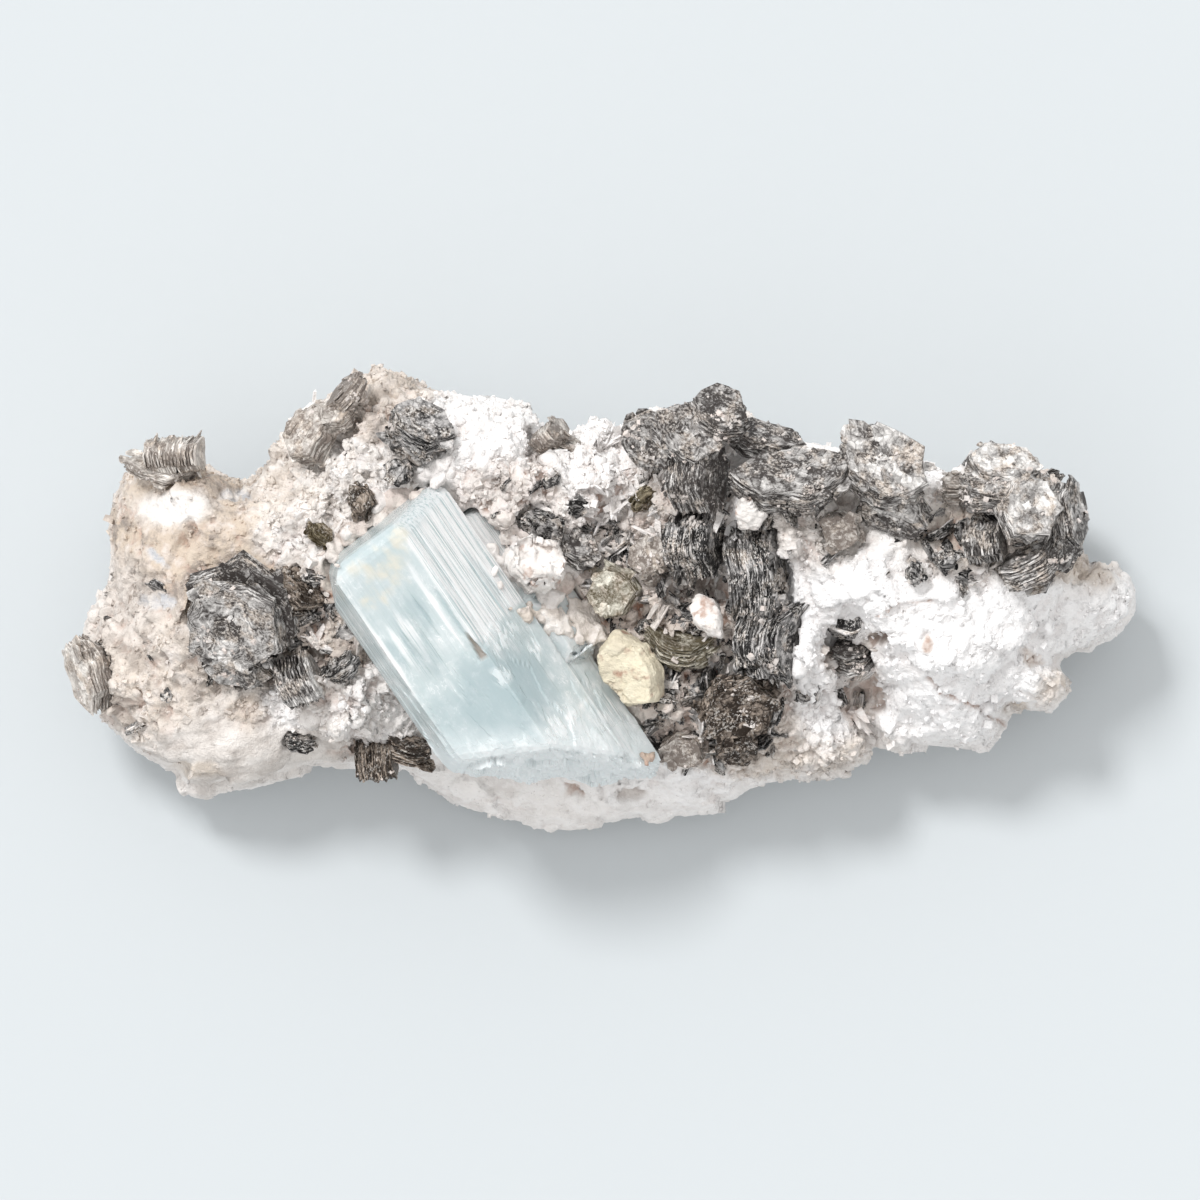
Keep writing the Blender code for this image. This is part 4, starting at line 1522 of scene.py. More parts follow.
BOOK_GROUPS = (
    BookGroup("mica_rosette", Tone.SILVER, (
        Book(-40.5, -2.4, 25.5, 6, 5.8, 4.8, 33, 245, 0.10, 0.3, 0.5, 0.4),
        Book(-40.5, -7.2, 22.5, 3.9, 2.6, 3, 50, 262, 0.15, 0, 0.4, 0.4),
        Book(-39.4, -0.6, 25.2, 6.9, 6.3, 2.6, 36, 245, -0.3, 0, 0, 0.3),
    )),
    BookGroup("mica_striped_block", Tone.SILVER, (
        Book(-33.6, -9, 24.5, 3, 2.8, 4.2, 75, 20, 0.38, 0, 0, 0.6),
    )),
    BookGroup("mica_wedge", Tone.BROWN, (Book(-33.8, 1.1, 25.5, 3.2, 3.2, 2.8, 50, 45),)),
    BookGroup("mica_flank_chip", Tone.CHARCOAL, (Book(-28.8, -7.5, 25, 2, 1.8, 2.2, 60, 130),)),
    BookGroup("mica_hanging", Tone.BROWN, (
        Book(-25.1, -17.9, 16.5, 2.4, 2.6, 4.4, 80, 5),
        Book(-21.5, -16.8, 17.6, 2.9, 1.9, 2.4, 60, 75),
    )),
    BookGroup("mica_hanging_chip", Tone.CHARCOAL, (Book(-33.6, -15.9, 17.5, 1.7, 1.4, 1.8, 60, 80),)),
    BookGroup("mica_cap", Tone.TAN, (
        Book(-47.7, 16.2, 21.5, 2.2, 2.8, 6.2, 78, 2, 0.4, 0.5, 0, 0.5),
        Book(-49.3, 14.8, 20, 4.4, 2.5, 1.6, 60, 82, 0.3, 0, 0, 0.6),
    )),
    BookGroup("mica_left_edge", Tone.TAN, (
        Book(-57.4, -8.2, 15, 4.4, 2.8, 3, 60, 200, 0.4, 0, 0.3, 0.6),
    )),
    BookGroup("mica_crown_left", Tone.TAN, (
        Book(-32.4, 18.3, 26.5, 3.6, 2.8, 3.2, 40, 150, 0.2, 0, 0, 0.6),
        Book(-29.8, 20.4, 26.5, 2.6, 2.2, 2.2, 50, 100, 0.25),
        Book(-28.2, 23, 26.5, 2.6, 2.2, 1.9, 70, 140, -0.25),
    )),
    BookGroup("mica_crown", Tone.CHARCOAL, (
        Book(-20, 19.4, 30, 3.9, 2.8, 3.2, 35, 60, 0.2, 0.4),
        Book(-21.2, 17.4, 29, 2.9, 2, 2.2, 50, 230, 0.18, 0.3),
    )),
    BookGroup("mica_tip_chip", Tone.CHARCOAL, (Book(-22.4, 14.2, 29.6, 1.6, 1.5, 1.8, 35, 180),)),
    BookGroup("mica_brown_chip", Tone.BROWN, (Book(-26.6, 11, 28.6, 1.9, 1.6, 1.8, 40, 200),)),
    BookGroup("mica_brown_fleck", Tone.OLIVE, (Book(-31.2, 7.4, 27.6, 1.5, 1.3, 1.5, 45, 45),)),
    BookGroup("mica_back_prism", Tone.TAN, (
        Book(-5.5, 18.3, 22.5, 1.6, 2.8, 3, 65, 40),
        Book(-3.9, 17.3, 21.5, 1.6, 1.8, 1.8, 60, 60),
    )),
    BookGroup("mica_centre_dark", Tone.CHARCOAL, (Book(-6.6, 8.4, 26, 2.6, 1.9, 2.2, 30, 250),)),
    BookGroup("mica_centre_grey", Tone.SILVER, (Book(-2.2, 5.6, 24.8, 2.4, 2, 2.2, 35, 60),)),
    BookGroup("mica_disc", Tone.GOLD, (Book(1.4, 0.9, 25, 2.9, 3, 3.2, 22, 210, 0.25, 0.2, 0.4, 0.4),)),
    BookGroup("mica_grey_block", Tone.TAN, (
        Book(5.8, 4.9, 25, 2.4, 2.6, 3.4, 25, 180),
        Book(5.4, 3, 25, 1.1, 1.5, 2.4, 40, 300, -0.2),
    )),
    BookGroup("mica_fan", Tone.OLIVE, (Book(5.2, 11.4, 25, 1.7, 1.5, 1.2, 50, 310),)),
    BookGroup("mica_black", Tone.CHARCOAL, (Book(10.4, 6.2, 27, 3.7, 3.6, 5.2, 70, 0, -0.1),)),
    BookGroup("mica_column", Tone.CHARCOAL, (
        Book(17.6, 3.1, 27, 5.2, 3.6, 5.2, 70, 8, 0.06, -1.2),
        Book(18.6, -4.4, 25.4, 4.8, 3.8, 5.4, 64, 350, 0.04, 1.2),
    )),
    BookGroup("mica_lower", Tone.BROWN, (
        Book(15.5, -11.9, 22.5, 4.6, 3.8, 3.6, 30, 290, -0.12, 0.4, 0, 1.6),
        Book(15.5, -16.2, 19.5, 2.5, 2.2, 2.6, 45, 280, -0.12, 0, 0, 1.6),
    )),
    BookGroup("mica_olive", Tone.GOLD, (Book(8.6, -5.6, 23.5, 4.2, 2.2, 2.4, 65, 80, -0.15, 1.5),)),
    BookGroup("mica_tan_low", Tone.TAN, (Book(9.3, -16.6, 18.5, 2.7, 2.2, 2.4, 35, 250, 0, 0.8),)),
    BookGroup("mica_ridge_left", Tone.SILVER, (
        Book(5.8, 17.9, 30.5, 3.6, 3.6, 2.8, 35, 220, -0.1, 0.3, 0.35, 0.4),
        Book(9.5, 18.3, 31.5, 4.2, 3.4, 2.6, 30, 60, 0.05, 0.4, 0.4, 0.4),
        Book(13.2, 20.4, 30.5, 3.4, 3.4, 4.2, 40, 70, -0.1),
        Book(18.5, 17.7, 28, 4.7, 2.2, 3, 50, 75, -0.15),
        Book(10.9, 13.7, 30, 3.9, 4, 5.2, 60, 355, -0.2),
    )),
    BookGroup("mica_ridge_right", Tone.SILVER, (
        Book(21.5, 13.4, 31.5, 7.2, 3.8, 3.6, 42, 95, -0.02, 0.8, 0.15, 0.5),
        Book(31.6, 14.8, 31.5, 5.4, 4.4, 4.2, 28, 60, 0.28, 0.3),
        Book(32.8, 10.3, 29.5, 4, 3.2, 3.4, 45, 250, 0.05),
    )),
    BookGroup("mica_nub", Tone.TAN, (Book(39.5, 12.5, 26.5, 1.5, 2, 2.4, 60, 90),)),
    BookGroup("mica_right", Tone.SILVER, (
        Book(44.8, 15, 29.5, 4.2, 2.8, 2.4, 40, 80, 0.4, 0, 0.2, 0.5),
        Book(43.7, 12.4, 29.5, 3.8, 3, 3.2, 50, 85, 0.1),
        Book(47.6, 10.1, 31, 3.6, 4, 2.8, 28, 30, 0.4, 0.4, 0.2, 0.6),
        Book(51.9, 9.3, 27, 4.1, 2.8, 3.4, 65, 10, 0.05),
        Book(47.8, 3.8, 28, 3.2, 2.6, 3.4, 68, 118, 0),
        Book(51.1, 5.6, 27, 2.4, 2.6, 3, 50, 330, -0.05),
    )),
    BookGroup("mica_barrel", Tone.SILVER, (Book(42.9, 6.4, 28.8, 2.3, 2.8, 4, 75, 5),)),
    BookGroup("mica_spot_low", Tone.CHARCOAL, (Book(35.1, 2.9, 29, 1.2, 1, 1.6, 20, 0),)),
    BookGroup("mica_spot_high", Tone.CHARCOAL, (Book(38.6, 4.5, 29.3, 1.3, 1.1, 1.6, 25, 100),)),
    BookGroup("mica_smoky_patch", Tone.TAN, (
        Book(26.9, 7.8, 29.4, 2.4, 2.2, 2.2, 20, 250, -0.1, 0, 0, 0.4),
    )),
    BookGroup("mica_in_pocket", Tone.SILVER, (Book(28.3, -6.2, 19, 2.4, 2.4, 3.2, 60, 100),)),
)


FLAT_FIRST = [1, 2, 0]


@dataclass
class MicaMass:
    """One group of mica books: a crumpled, layered mass with sheets that stand out of it."""

    group: BookGroup
    material: Material
    rock: Ground
    rng: Draws
    voxel: float = 0.27
    breaks: Facets = Facets(56, 2.2, 0.30)
    steps: Facets = Facets(58, 1.0, 0.40, 0.35)
    tints: Facets = Facets(59, 1.0, 0.25, 0.0)
    sheet_pitch: float = 0.4
    sheet_sides: int = 12
    flake_sides: int = 7
    hidden_depth: float = 0.8
    flakes_per_area: float = 0.6

    def build(self) -> Shape:
        """Makes the group's mass and sheets.

        Returns:
            The mass, for dust to settle on.
        """
        mass = self.crumpled()
        node = self.group.node
        sheets = joined([self.whole_sheets(book) for book in self.group.books])
        loose = joined([self.loose_flakes(book) for book in self.group.books])
        pieces = {"_mass": (mass, True), "_sheets": (sheets, False), "_flakes": (loose, False)}
        for name, (shape, smooth) in pieces.items():
            made = make_object(node + name, shape, self.material, smooth)
            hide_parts(node)
        return mass

    def nearest_book(self, points: Array) -> Array:
        """Finds the book that each point belongs to.

        Args:
            points: Places on the group's surface.

        Returns:
            Number of the book, for each point.
        """
        measures = []
        for book in self.group.books:
            local = book.inside(points)
            across = np.hypot(local[:, 0] / book.half_width, local[:, 1] / book.half_height)
            measures.append(np.maximum(across, np.abs(local[:, 2]) / (book.thickness / 2)))
        return np.argmin(measures, axis=0)

    def crumpled(self) -> Shape:
        """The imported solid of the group, broken and layered.

        Returns:
            Its surface, without what lies deep in the rock.
        """
        shape = evenly(solid_copy(self.group.node), self.voxel, 1)
        points, normals = shape.points, shape.normals()
        owner = self.nearest_book(points)
        values = {name: np.zeros(len(points)) for name in ("shade", "face", "rings")}
        values["in_book"] = np.zeros_like(points)
        rise = 0.35 * Field(55).rough(points, 2.6, 2) + self.breaks.heights(points) - 0.15
        for number, book in enumerate(self.group.books):
            mine = owner == number
            local = book.inside(points[mine])
            face = np.abs(normals[mine] @ book.axes()[2])
            layered = local * (0.35, 0.35, 2.6) + book.offset()
            stepped = local * (0.75, 0.75, 0.3) + book.offset()
            edges = 0.30 * Field(57).waves(layered, 1.0) * (1 - face)
            steps = self.steps.heights(stepped) * face
            rise[mine] = rise[mine] * book.crumple + edges + steps * book.crumple
            values["in_book"][mine] = book.pattern_place(local)
            faced = smooth_step(face, 0.35, 0.85)
            tints = self.tints.heights(stepped)
            values["shade"][mine] = book.light * (0.2 + 0.8 * faced) + tints
            values["face"][mine] = faced
            values["rings"][mine] = book.rings
        shape = Shape(points + normals * rise[:, None], shape.faces, values)
        deep = np.array([self.rock.depth(centre) for centre in shape.centres()])
        return shape.part(deep < self.hidden_depth)

    def finished(self, book: Book, plates: Plates, shades: Array, faced: Array) -> Shape:
        """Bows plates given in the book's own frame and puts them in place.

        Args:
            book: Their book.
            plates: The plates.
            shades: How light each one is.
            faced: How much each one's upper side looks like the book's face.

        Returns:
            Their shape, with the values the mica finish reads.
        """
        local = plates.points().reshape(-1, 3)
        values = plates.mica_values(book.pattern_place(local), shades, faced, book.rings)
        local[:, 2] += book.bowed(local)
        return Shape(book.outside(local), plates.faces(), values)

    def whole_sheets(self, book: Book) -> Shape:
        """Sheets that run right across the book and stand out at its rim.

        Args:
            book: The book.

        Returns:
            The sheets.
        """
        count = max(3, round(book.thickness / self.sheet_pitch))
        levels = (np.arange(count) + 0.5) / count * book.thickness - book.thickness / 2
        sides = self.sheet_sides
        turns = np.arange(sides) * 2 * math.pi / sides + self.rng.uniform(-0.12, 0.12, sides)
        corner = np.where(np.arange(sides) % 2, 0.89, 1.02)
        uneven = self.rng.uniform(-0.07, 0.03, (count, sides)) * min(1.0, 1.3 * book.crumple)
        radii = corner * self.rng.uniform(0.86, 1.05, sides) * (1 + uneven)
        plates = Plates(
            np.column_stack([self.rng.normal(0, 0.05, (count, 2)), levels]),
            np.tile(np.eye(3), (count, 1, 1)),
            np.tile([book.half_width, book.half_height], (count, 1)),
            self.rng.uniform(0.14, 0.34, count),
            np.tile(turns, (count, 1)),
            radii,
        )
        shades = self.rng.uniform(-0.25, 0.15, count)
        shades[-1] = 0.7 * book.light - 0.12
        return self.finished(book, plates, shades, np.where(np.arange(count) < count - 1, 0.2, 0.8))

    def loose_flakes(self, book: Book) -> Shape:
        """Broken bits of sheets on the book's faces and round its rim.

        Args:
            book: The book.

        Returns:
            The bits.
        """
        rng = self.rng
        area = book.half_width * book.half_height
        on_face = max(4, int(self.flakes_per_area * area * book.crumple**2))
        at_rim = max(6, int(self.flakes_per_area * book.half_width * book.thickness))
        count = on_face + at_rim
        heading = rng.uniform(0, 2 * math.pi, count)
        reach = np.concatenate([np.sqrt(rng.uniform(size=on_face)) * 0.9, rng.uniform(0.82, 1.0, at_rim)])
        side = rng.choice((-1, 1), on_face)
        raised = side * (book.thickness / 2 + rng.uniform(-0.15, 0.12, on_face))
        level = np.concatenate([raised, rng.uniform(-0.5, 0.5, at_rim) * book.thickness])
        across = np.cos(heading) * reach * book.half_width
        centres = np.stack([across, np.sin(heading) * reach * book.half_height, level], axis=1)
        axes = unit((0, 0, 1) + rng.normal(0, 0.10, (count, 3)))
        frames = turns_along(axes, rng)[:, FLAT_FIRST]
        size = draw_sizes(rng, 1.0, 0.35, 0.5 * book.half_width, count)
        halves = size[:, None] * rng.uniform(0.5, 1.1, (count, 2))
        turns, radii = plate_outlines(count, self.flake_sides, rng)
        plates = Plates(centres, frames, halves, rng.uniform(0.06, 0.2, count), turns, radii)
        return self.finished(book, plates, 0.6 * book.light + rng.uniform(-0.3, 0.08, count), np.ones(count))


@dataclass
class Mica:
    """All the mica: the large books, the small flakes among them, and the albite dust on top."""

    rock: AlbiteRock
    flake_count: int = 750
    flake_sides: int = 6
    stack: int = 4
    pitch_share: float = 0.11
    shiny_share: float = 0.18
    dust_count: int = 1300

    def build(self) -> None:
        """Makes each group of books, then the flakes and the dust."""
        materials = {tone: tone.value.material() for tone in Tone}
        rng = np.random.default_rng(61)
        masses = [
            MicaMass(group, materials[group.tone], self.rock.ground, rng).build() for group in BOOK_GROUPS
        ]
        self.scatter_flakes(materials[Tone.CHARCOAL])
        self.settle_dust(joined(masses))

    def scatter_flakes(self, material: Material) -> None:
        """Strews small stacks of sheets over the rock where mica grows.

        Args:
            material: Their finish.
        """
        rng = np.random.default_rng(71)
        places, normals = self.rock.spread("flakes", self.flake_count, 2.0, rng)
        axes = unit(normals + rng.normal(0, 0.8, normals.shape))
        frames = turns_along(axes, rng)[:, FLAT_FIRST]
        size = draw_sizes(rng, 0.95, 0.3, 2.4, len(places), 0.5)
        total = len(places) * self.stack
        pitch = np.repeat(size * self.pitch_share, self.stack)
        levels = np.tile(np.arange(self.stack) - self.stack / 2, len(places)) * pitch
        frames = np.repeat(frames, self.stack, axis=0)
        centres = np.repeat(places, self.stack, axis=0) + frames[:, 2] * levels[:, None]
        halves = np.repeat(size, self.stack)[:, None] * rng.uniform(0.6, 1.1, (total, 2))
        turns, radii = plate_outlines(total, self.flake_sides, rng)
        plates = Plates(centres, frames, halves, pitch * 0.95, turns, radii)
        points = plates.points().reshape(-1, 3)
        # Painted glints: about one flake in five is coloured light in place of a glint.
        shiny = rng.uniform(size=total) < self.shiny_share
        shades = np.where(shiny, 0.5, rng.uniform(-0.35, 0.15, total))
        values = plates.mica_values(points, shades, np.ones(total), 0.0)
        flakes = make_object("mica_flakes", Shape(points, plates.faces(), values), material, False)

    def settle_dust(self, surface: Shape) -> None:
        """Settles albite grains on the mica.

        Args:
            surface: The mica's surface.
        """
        rng = np.random.default_rng(73)
        count = self.dust_count
        clumps = smooth_step(Field(74).rough(surface.centres(), 3.0), 0.1, 0.5)
        density = smooth_step(surface.upness(), 0.0, 0.8) * (0.02 + clumps)
        places, normals = scattered(surface, density, count, rng)
        size = draw_sizes(rng, 0.09, 0.05, 0.35, count)
        halves = size[:, None] * rng.uniform(0.55, 1.5, (count, 3))
        shape = blocks(places + normals * size[:, None] * 0.3, random_turns(count, rng), halves, 0.2, rng)
        shape.values = plain_stains(len(shape.points), 0.3, 0.3, 0.3, 0.3)
        make_object("albite_dust", shape, self.rock.material, False)


# --- Aquamarine ---
class CrystalLook(Enum):
    """What a patch of the aquamarine changes."""

    MILK = "milk"
    CLEAR = "clear"
    STAIN = "stain"
    FROST = "frost"
    GROOVE = "groove"
    LINED = "lined"


@dataclass(frozen=True)
class Patch:
    """A patch of the aquamarine's top, placed across and along the crystal, in millimetres."""

    across: float
    along: float
    reach_across: float
    reach_along: float
    strength: float

    def cover(self, points: Array) -> Array:
        """Spreads the patch over the crystal, with an uneven outline.

        Args:
            points: Places in the crystal's own frame.

        Returns:
            How strong the patch is at each place.
        """
        warp = Field(88)
        stretched = points * (1, 1, 0.2)
        wobble = min(0.35, 0.6 * self.reach_across)
        across = (points[:, 0] - self.across + wobble * warp.waves(stretched, 0.8)) / self.reach_across
        wobble = min(1.2, 0.4 * self.reach_along)
        along = (points[:, 2] - self.along + wobble * warp.waves(stretched + 30.0, 0.7)) / self.reach_along
        on_top = points[:, 1] > -0.3 * points[:, 0]
        return self.strength * ((1 - smooth_step(np.hypot(across, along), 0.55, 1.15)) * on_top)


CRYSTAL_PATCHES = {
    CrystalLook.MILK: (
        Patch(5.4, -9, 3.2, 8, 1), Patch(4.4, -1.5, 1.8, 2.6, 1),
        Patch(-3.6, -11, 4, 3.4, 0.12), Patch(-6.9, -4, 0.35, 6.5, 1),
        Patch(-3.4, -4.5, 0.5, 4, 0.9), Patch(-5.2, -4, 0.4, 3, 0.7),
        Patch(0.6, -6, 0.45, 6, 1), Patch(9.8, 17.6, 2, 4.6, 0.9), Patch(7.8, 18.2, 0.35, 3.6, 1),
        Patch(10.4, 17, 0.3, 3.8, 1), Patch(-4.2, 10.4, 2.2, 1.6, 0.4),
        Patch(-1.2, 11.6, 4, 4, 0.45), Patch(2.6, 13.8, 4, 4.5, 0.5), Patch(6.4, 16.6, 4, 5, 0.6),
        Patch(6.8, 13.4, 2, 0.8, 1), Patch(4.2, 12.2, 1.5, 0.5, 0.8), Patch(3.6, 9.6, 0.35, 0.9, 0.9),
        Patch(6.6, 8.4, 0.4, 0.9, 0.8), Patch(7.3, 5.3, 0.5, 0.8, 1), Patch(-3.1, 2.6, 0.35, 1.1, 1),
        Patch(3.4, 2.6, 0.5, 1.2, 1), Patch(5.2, 2.8, 0.4, 1.3, 1), Patch(11.5, 7, 4, 8, 0.6),
    ),
    CrystalLook.CLEAR: (
        Patch(-5, 7, 2.6, 5, 0.45), Patch(-1.4, -6.6, 1.3, 2.6, 0.5),
        Patch(-3.4, -1.5, 0.8, 3.4, 0.4), Patch(-6, -3.5, 0.8, 2.4, 0.5), Patch(6.6, -4.5, 1, 4, 0.3),
        Patch(1, 7, 6.5, 6.5, 0.75), Patch(-3, -10.5, 5, 5, 0.3), Patch(9.5, 6, 2.5, 6, 0.15),
        Patch(0, -15.6, 10, 1.9, 0.35),
    ),
    CrystalLook.STAIN: (
        Patch(-3.4, -12.2, 4.5, 3, 0.8), Patch(1.6, -14.2, 1.4, 1.8, 0.8),
    ),
    CrystalLook.GROOVE: (
        Patch(1.5, -4.2, 0.26, 4.4, 0.7), Patch(-1, -5.4, 0.20, 3.4, 0.5),
        Patch(-2.4, -3, 0.22, 4.6, 0.5), Patch(-4.3, -3.2, 0.25, 3.8, 0.5),
        Patch(3.4, -6, 0.14, 6, 0.4), Patch(4.9, -5, 0.15, 6.5, 0.5),
        Patch(6.3, -6.5, 0.14, 6, 0.5), Patch(7.3, -3.4, 0.22, 3.8, 0.6),
        Patch(8.6, 16.2, 0.16, 4.4, 0.5),
    ),
    CrystalLook.FROST: (
        Patch(4.8, 13.6, 2.4, 1.6, 0.5), Patch(-5, 10.6, 2.4, 1.6, 0.5), Patch(-1, 13, 3, 1.6, 0.6),
        Patch(2.6, 15.4, 3, 1.6, 0.6), Patch(6, 17.8, 3, 1.8, 0.6), Patch(4.6, 1.3, 2.6, 1.9, 1),
        Patch(7, 5, 1, 1.6, 0.9), Patch(2.6, 4.6, 1.6, 1.6, 0.7), Patch(5, 13.2, 2.6, 2, 0.9),
        Patch(-2.6, 3.2, 0.5, 1.5, 1),
    ),
    CrystalLook.LINED: (
        Patch(9.2, 17.6, 2.2, 4.6, 1), Patch(-3.6, -2.5, 1.8, 5.5, 0.8), Patch(5, 1.5, 3.4, 3, 0.8),
    ),
}


GROOVED = (1, 1, 0.03)


@dataclass
class Aquamarine:
    """The aquamarine: parallel prisms, striated along their length and broken off at the lower end."""

    node: str = "aquamarine_crystal"
    across_centre: float = -16.0
    along_centre: float = -5.0
    height: float = 27.5
    turn: float = -55.6
    dip: float = 8.0
    strip: Triple = (0.17, 0.34, 0.5)
    groove: float = 0.14
    first_face: float = -15.0
    end_bevel: float = 1.9
    edge_bevel: float = 0.35
    bevel_steps: int = 4
    end_slope: float = 0.6
    sharp_angle: float = 0.35
    same_point: float = 1e-4
    break_depth: float = 0.7
    mark_depth: float = 0.3
    wedge_depth: float = 0.4
    splits: Facets = Facets(82, 2.6, 1.0)
    chips: Facets = Facets(83, 0.9, 0.5)
    terraces: Facets = Facets(85, 2.4, 0.2, 0.5)
    finish: BerylFinish = BerylFinish()

    def placement(self) -> Matrix:
        """Works out the crystal's own frame.

        Returns:
            The frame, with +X across, +Y up and +Z down its length to the broken end.
        """
        turn, dip = math.radians(self.turn), math.radians(self.dip)
        level = Vector((math.cos(turn), math.sin(turn), 0.0))
        along = level * math.cos(dip) - Vector((0.0, 0.0, math.sin(dip)))
        across = Vector((-math.sin(turn), math.cos(turn), 0.0))
        up = along.cross(across)
        centre = across * self.across_centre + level * self.along_centre + Vector((0, 0, self.height))
        return Matrix.Translation(centre) @ Matrix((across, up, along)).transposed().to_4x4()

    def sliced(self) -> Shape:
        """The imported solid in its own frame, cut into narrow strips along its length.

        Returns:
            A shape of triangles.
        """
        copy = solid_copy(self.node)
        bm = bmesh.new()
        bm.from_mesh(copy.data)
        bpy.data.objects.remove(copy)
        bmesh.ops.remove_doubles(bm, verts=bm.verts, dist=self.same_point)
        bmesh.ops.transform(bm, matrix=self.placement().inverted(), verts=bm.verts)
        bmesh.ops.dissolve_limit(bm, angle_limit=math.radians(0.5), verts=bm.verts, edges=bm.edges)
        at_end = {edge for face in bm.faces if abs(face.normal.z) > self.end_slope for edge in face.edges}
        for edges, width in ((at_end, self.end_bevel), (set(bm.edges) - at_end, self.edge_bevel)):
            chosen = [e for e in bm.edges if e in edges and e.calc_face_angle(0.0) > self.sharp_angle]
            shaping = {"segments": self.bevel_steps, "profile": 0.5, "affect": "EDGES"}
            bmesh.ops.bevel(bm, geom=chosen, offset=width, **shaping)
        for axis, step in enumerate(self.strip):
            reach = [v.co[axis] for v in bm.verts]
            normal = Vector(np.eye(3)[axis])
            for place in np.arange(min(reach) + step / 2, max(reach), step):
                every = bm.verts[:] + bm.edges[:] + bm.faces[:]
                plane = {"plane_co": normal * place, "plane_no": normal}
                bmesh.ops.bisect_plane(bm, geom=every, dist=self.same_point, **plane)
        bmesh.ops.triangulate(bm, faces=bm.faces)
        points = np.array([v.co for v in bm.verts], float)
        faces = np.array([[v.index for v in f.verts] for f in bm.faces])
        bm.free()
        return Shape(points, faces)

    def face_directions(self) -> list[Array]:
        """Directions that the prism's faces look in, across and up the crystal."""
        leans = [math.radians(self.first_face + 60 * number) for number in range(6)]
        return [np.array([math.sin(lean), math.cos(lean)]) for lean in leans]

    def inclusion(self, points: Array) -> Array:
        """The brown wedge beside the ridge, narrow at its upper end.

        Args:
            points: Places in the crystal's own frame.

        Returns:
            How far each place lies in the wedge, from 0 to 1.
        """
        length = (points[:, 2] + 1.5) / 3.7
        reach = 0.07 + 0.42 * length - np.abs(points[:, 0] - 1.65)
        return smooth_step(reach, -0.06, 0.08) * ((length > 0) & (length < 1) & (points[:, 1] > 0))

    def build(self) -> None:
        """Makes the crystal."""
        shape = self.sliced()
        points, normals = shape.points, shape.normals()
        window = smooth_step(points[:, 2] + 1.2 * Field(87).waves(points, 2.0), -1.0, 0.6)
        painted = {
            look: np.max([patch.cover(points) for patch in patches], axis=0)
            for look, patches in CRYSTAL_PATCHES.items()
        }
        rise = self.relief(points, normals, window)
        rise -= self.mark_depth * painted[CrystalLook.GROOVE] + self.wedge_depth * self.inclusion(points)
        shape.points = points + normals * rise[:, None]
        shape.values = self.looks(points, normals, window, painted)
        placement = np.array(self.placement())
        shape.points = shape.points @ placement[:3, :3].T + placement[:3, 3]
        crystal = make_object("aquamarine_prism", shape, self.finish.material(), False)
        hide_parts(self.node)

    def sides(self, normals: Array) -> Array:
        """How far each place lies on the prism's sides, from 0 to 1."""
        return smooth_step(1 - np.abs(normals[:, 2]), 0.3, 0.9)

    def broken_end(self, normals: Array) -> Array:
        """How far each place lies on the broken end, from 0 to 1."""
        return smooth_step(normals[:, 2], 0.45, 0.7)

    def relief(self, points: Array, normals: Array, window: Array) -> Array:
        """Works out the grooves along the prism, its uneven lower part and its broken end.

        Args:
            points: Places in the crystal's own frame.
            normals: The surface normals there.
            window: How far each place lies in the clear lower part, from 0 to 1.

        Returns:
            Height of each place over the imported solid, in millimetres.
        """
        grooves = Field(81).rough(points * GROOVED, 1.5, 4, 0.7)
        side = self.sides(normals)
        broken = self.break_depth * (self.splits.heights(points) + self.chips.heights(points) - 0.3)
        rise = self.groove * grooves * side * (1.6 - 1.3 * window) + broken * self.broken_end(normals)
        return rise + self.terraces.heights(points * (1, 1, 0.45)) * window * side

    def looks(
        self, points: Array, normals: Array, window: Array, painted: dict[CrystalLook, Array]
    ) -> dict[str, Array]:
        """Works out the values that the beryl finish reads.

        Args:
            points: Places in the crystal's own frame.
            normals: The surface normals there.
            window: The same as in relief.
            painted: How strong each kind of patch is there.

        Returns:
            Each value's name and its numbers.
        """
        facing = np.max([normals[:, :2] @ face for face in self.face_directions()], axis=0)
        # Painted highlight: a milky line along the prism's edges, where light catches them.
        edge_highlight = smooth_step(1 - facing, 0.012, 0.05) * self.sides(normals)
        whole = 1 - window
        to_end = points[:, 2] - 0.57 * points[:, 0] - 14.0 + 1.2 * Field(94).waves(points, 1.6)
        near_end = smooth_step(to_end, -5.0, 0.5)
        wisps = smooth_step(Field(90).rough(points * (1, 1, 0.6), 1.1, 4), -0.15, 0.25)
        painted[CrystalLook.MILK] *= 1 - 0.65 * window * (1 - wisps)
        striated = smooth_step(points[:, 0] + 0.3 * Field(84).waves(points * GROOVED, 0.8), 1.5, 2.3)
        cloudy = smooth_step(Field(86).rough(points * (1, 1, 0.6), 2.6), -0.3, 0.3)
        # The striated side is made milky white, partly for its striations and partly as painted light that
        # makes up for the less sun it gets.
        milk = 0.08 + whole * (0.04 + 0.14 * cloudy + 0.82 * striated)
        milk += 0.85 * painted[CrystalLook.MILK] + 0.35 * edge_highlight
        splinters = Field(89).chips(points * (1.3, 1.3, 0.6), 1.0)
        painted[CrystalLook.FROST] *= smooth_step(splinters, 0.0, 0.35)
        blotches = smooth_step(Field(86).rough(points, 2.2), -0.25, 0.25)
        values = {
            "milk": milk,
            "lined": whole * (0.25 + 0.75 * striated) + painted[CrystalLook.LINED],
            "deep": 0.55 * painted[CrystalLook.GROOVE] + painted[CrystalLook.CLEAR],
            "stain": painted[CrystalLook.STAIN] * blotches,
            "frost": self.broken_end(normals) + 0.6 * near_end + painted[CrystalLook.FROST],
            "brown": self.inclusion(points),
        }
        return {"in_crystal": points} | {name: np.clip(value, 0, 1) for name, value in values.items()}


@dataclass(frozen=True)
class CrustPatch:
    """A crust of albite knobs on the aquamarine, with its long side turned by some degrees."""

    x: float
    y: float
    reach_x: float
    reach_y: float
    turn: float
    count: int
    size: float
    cream: float
    rust: float = 0.1


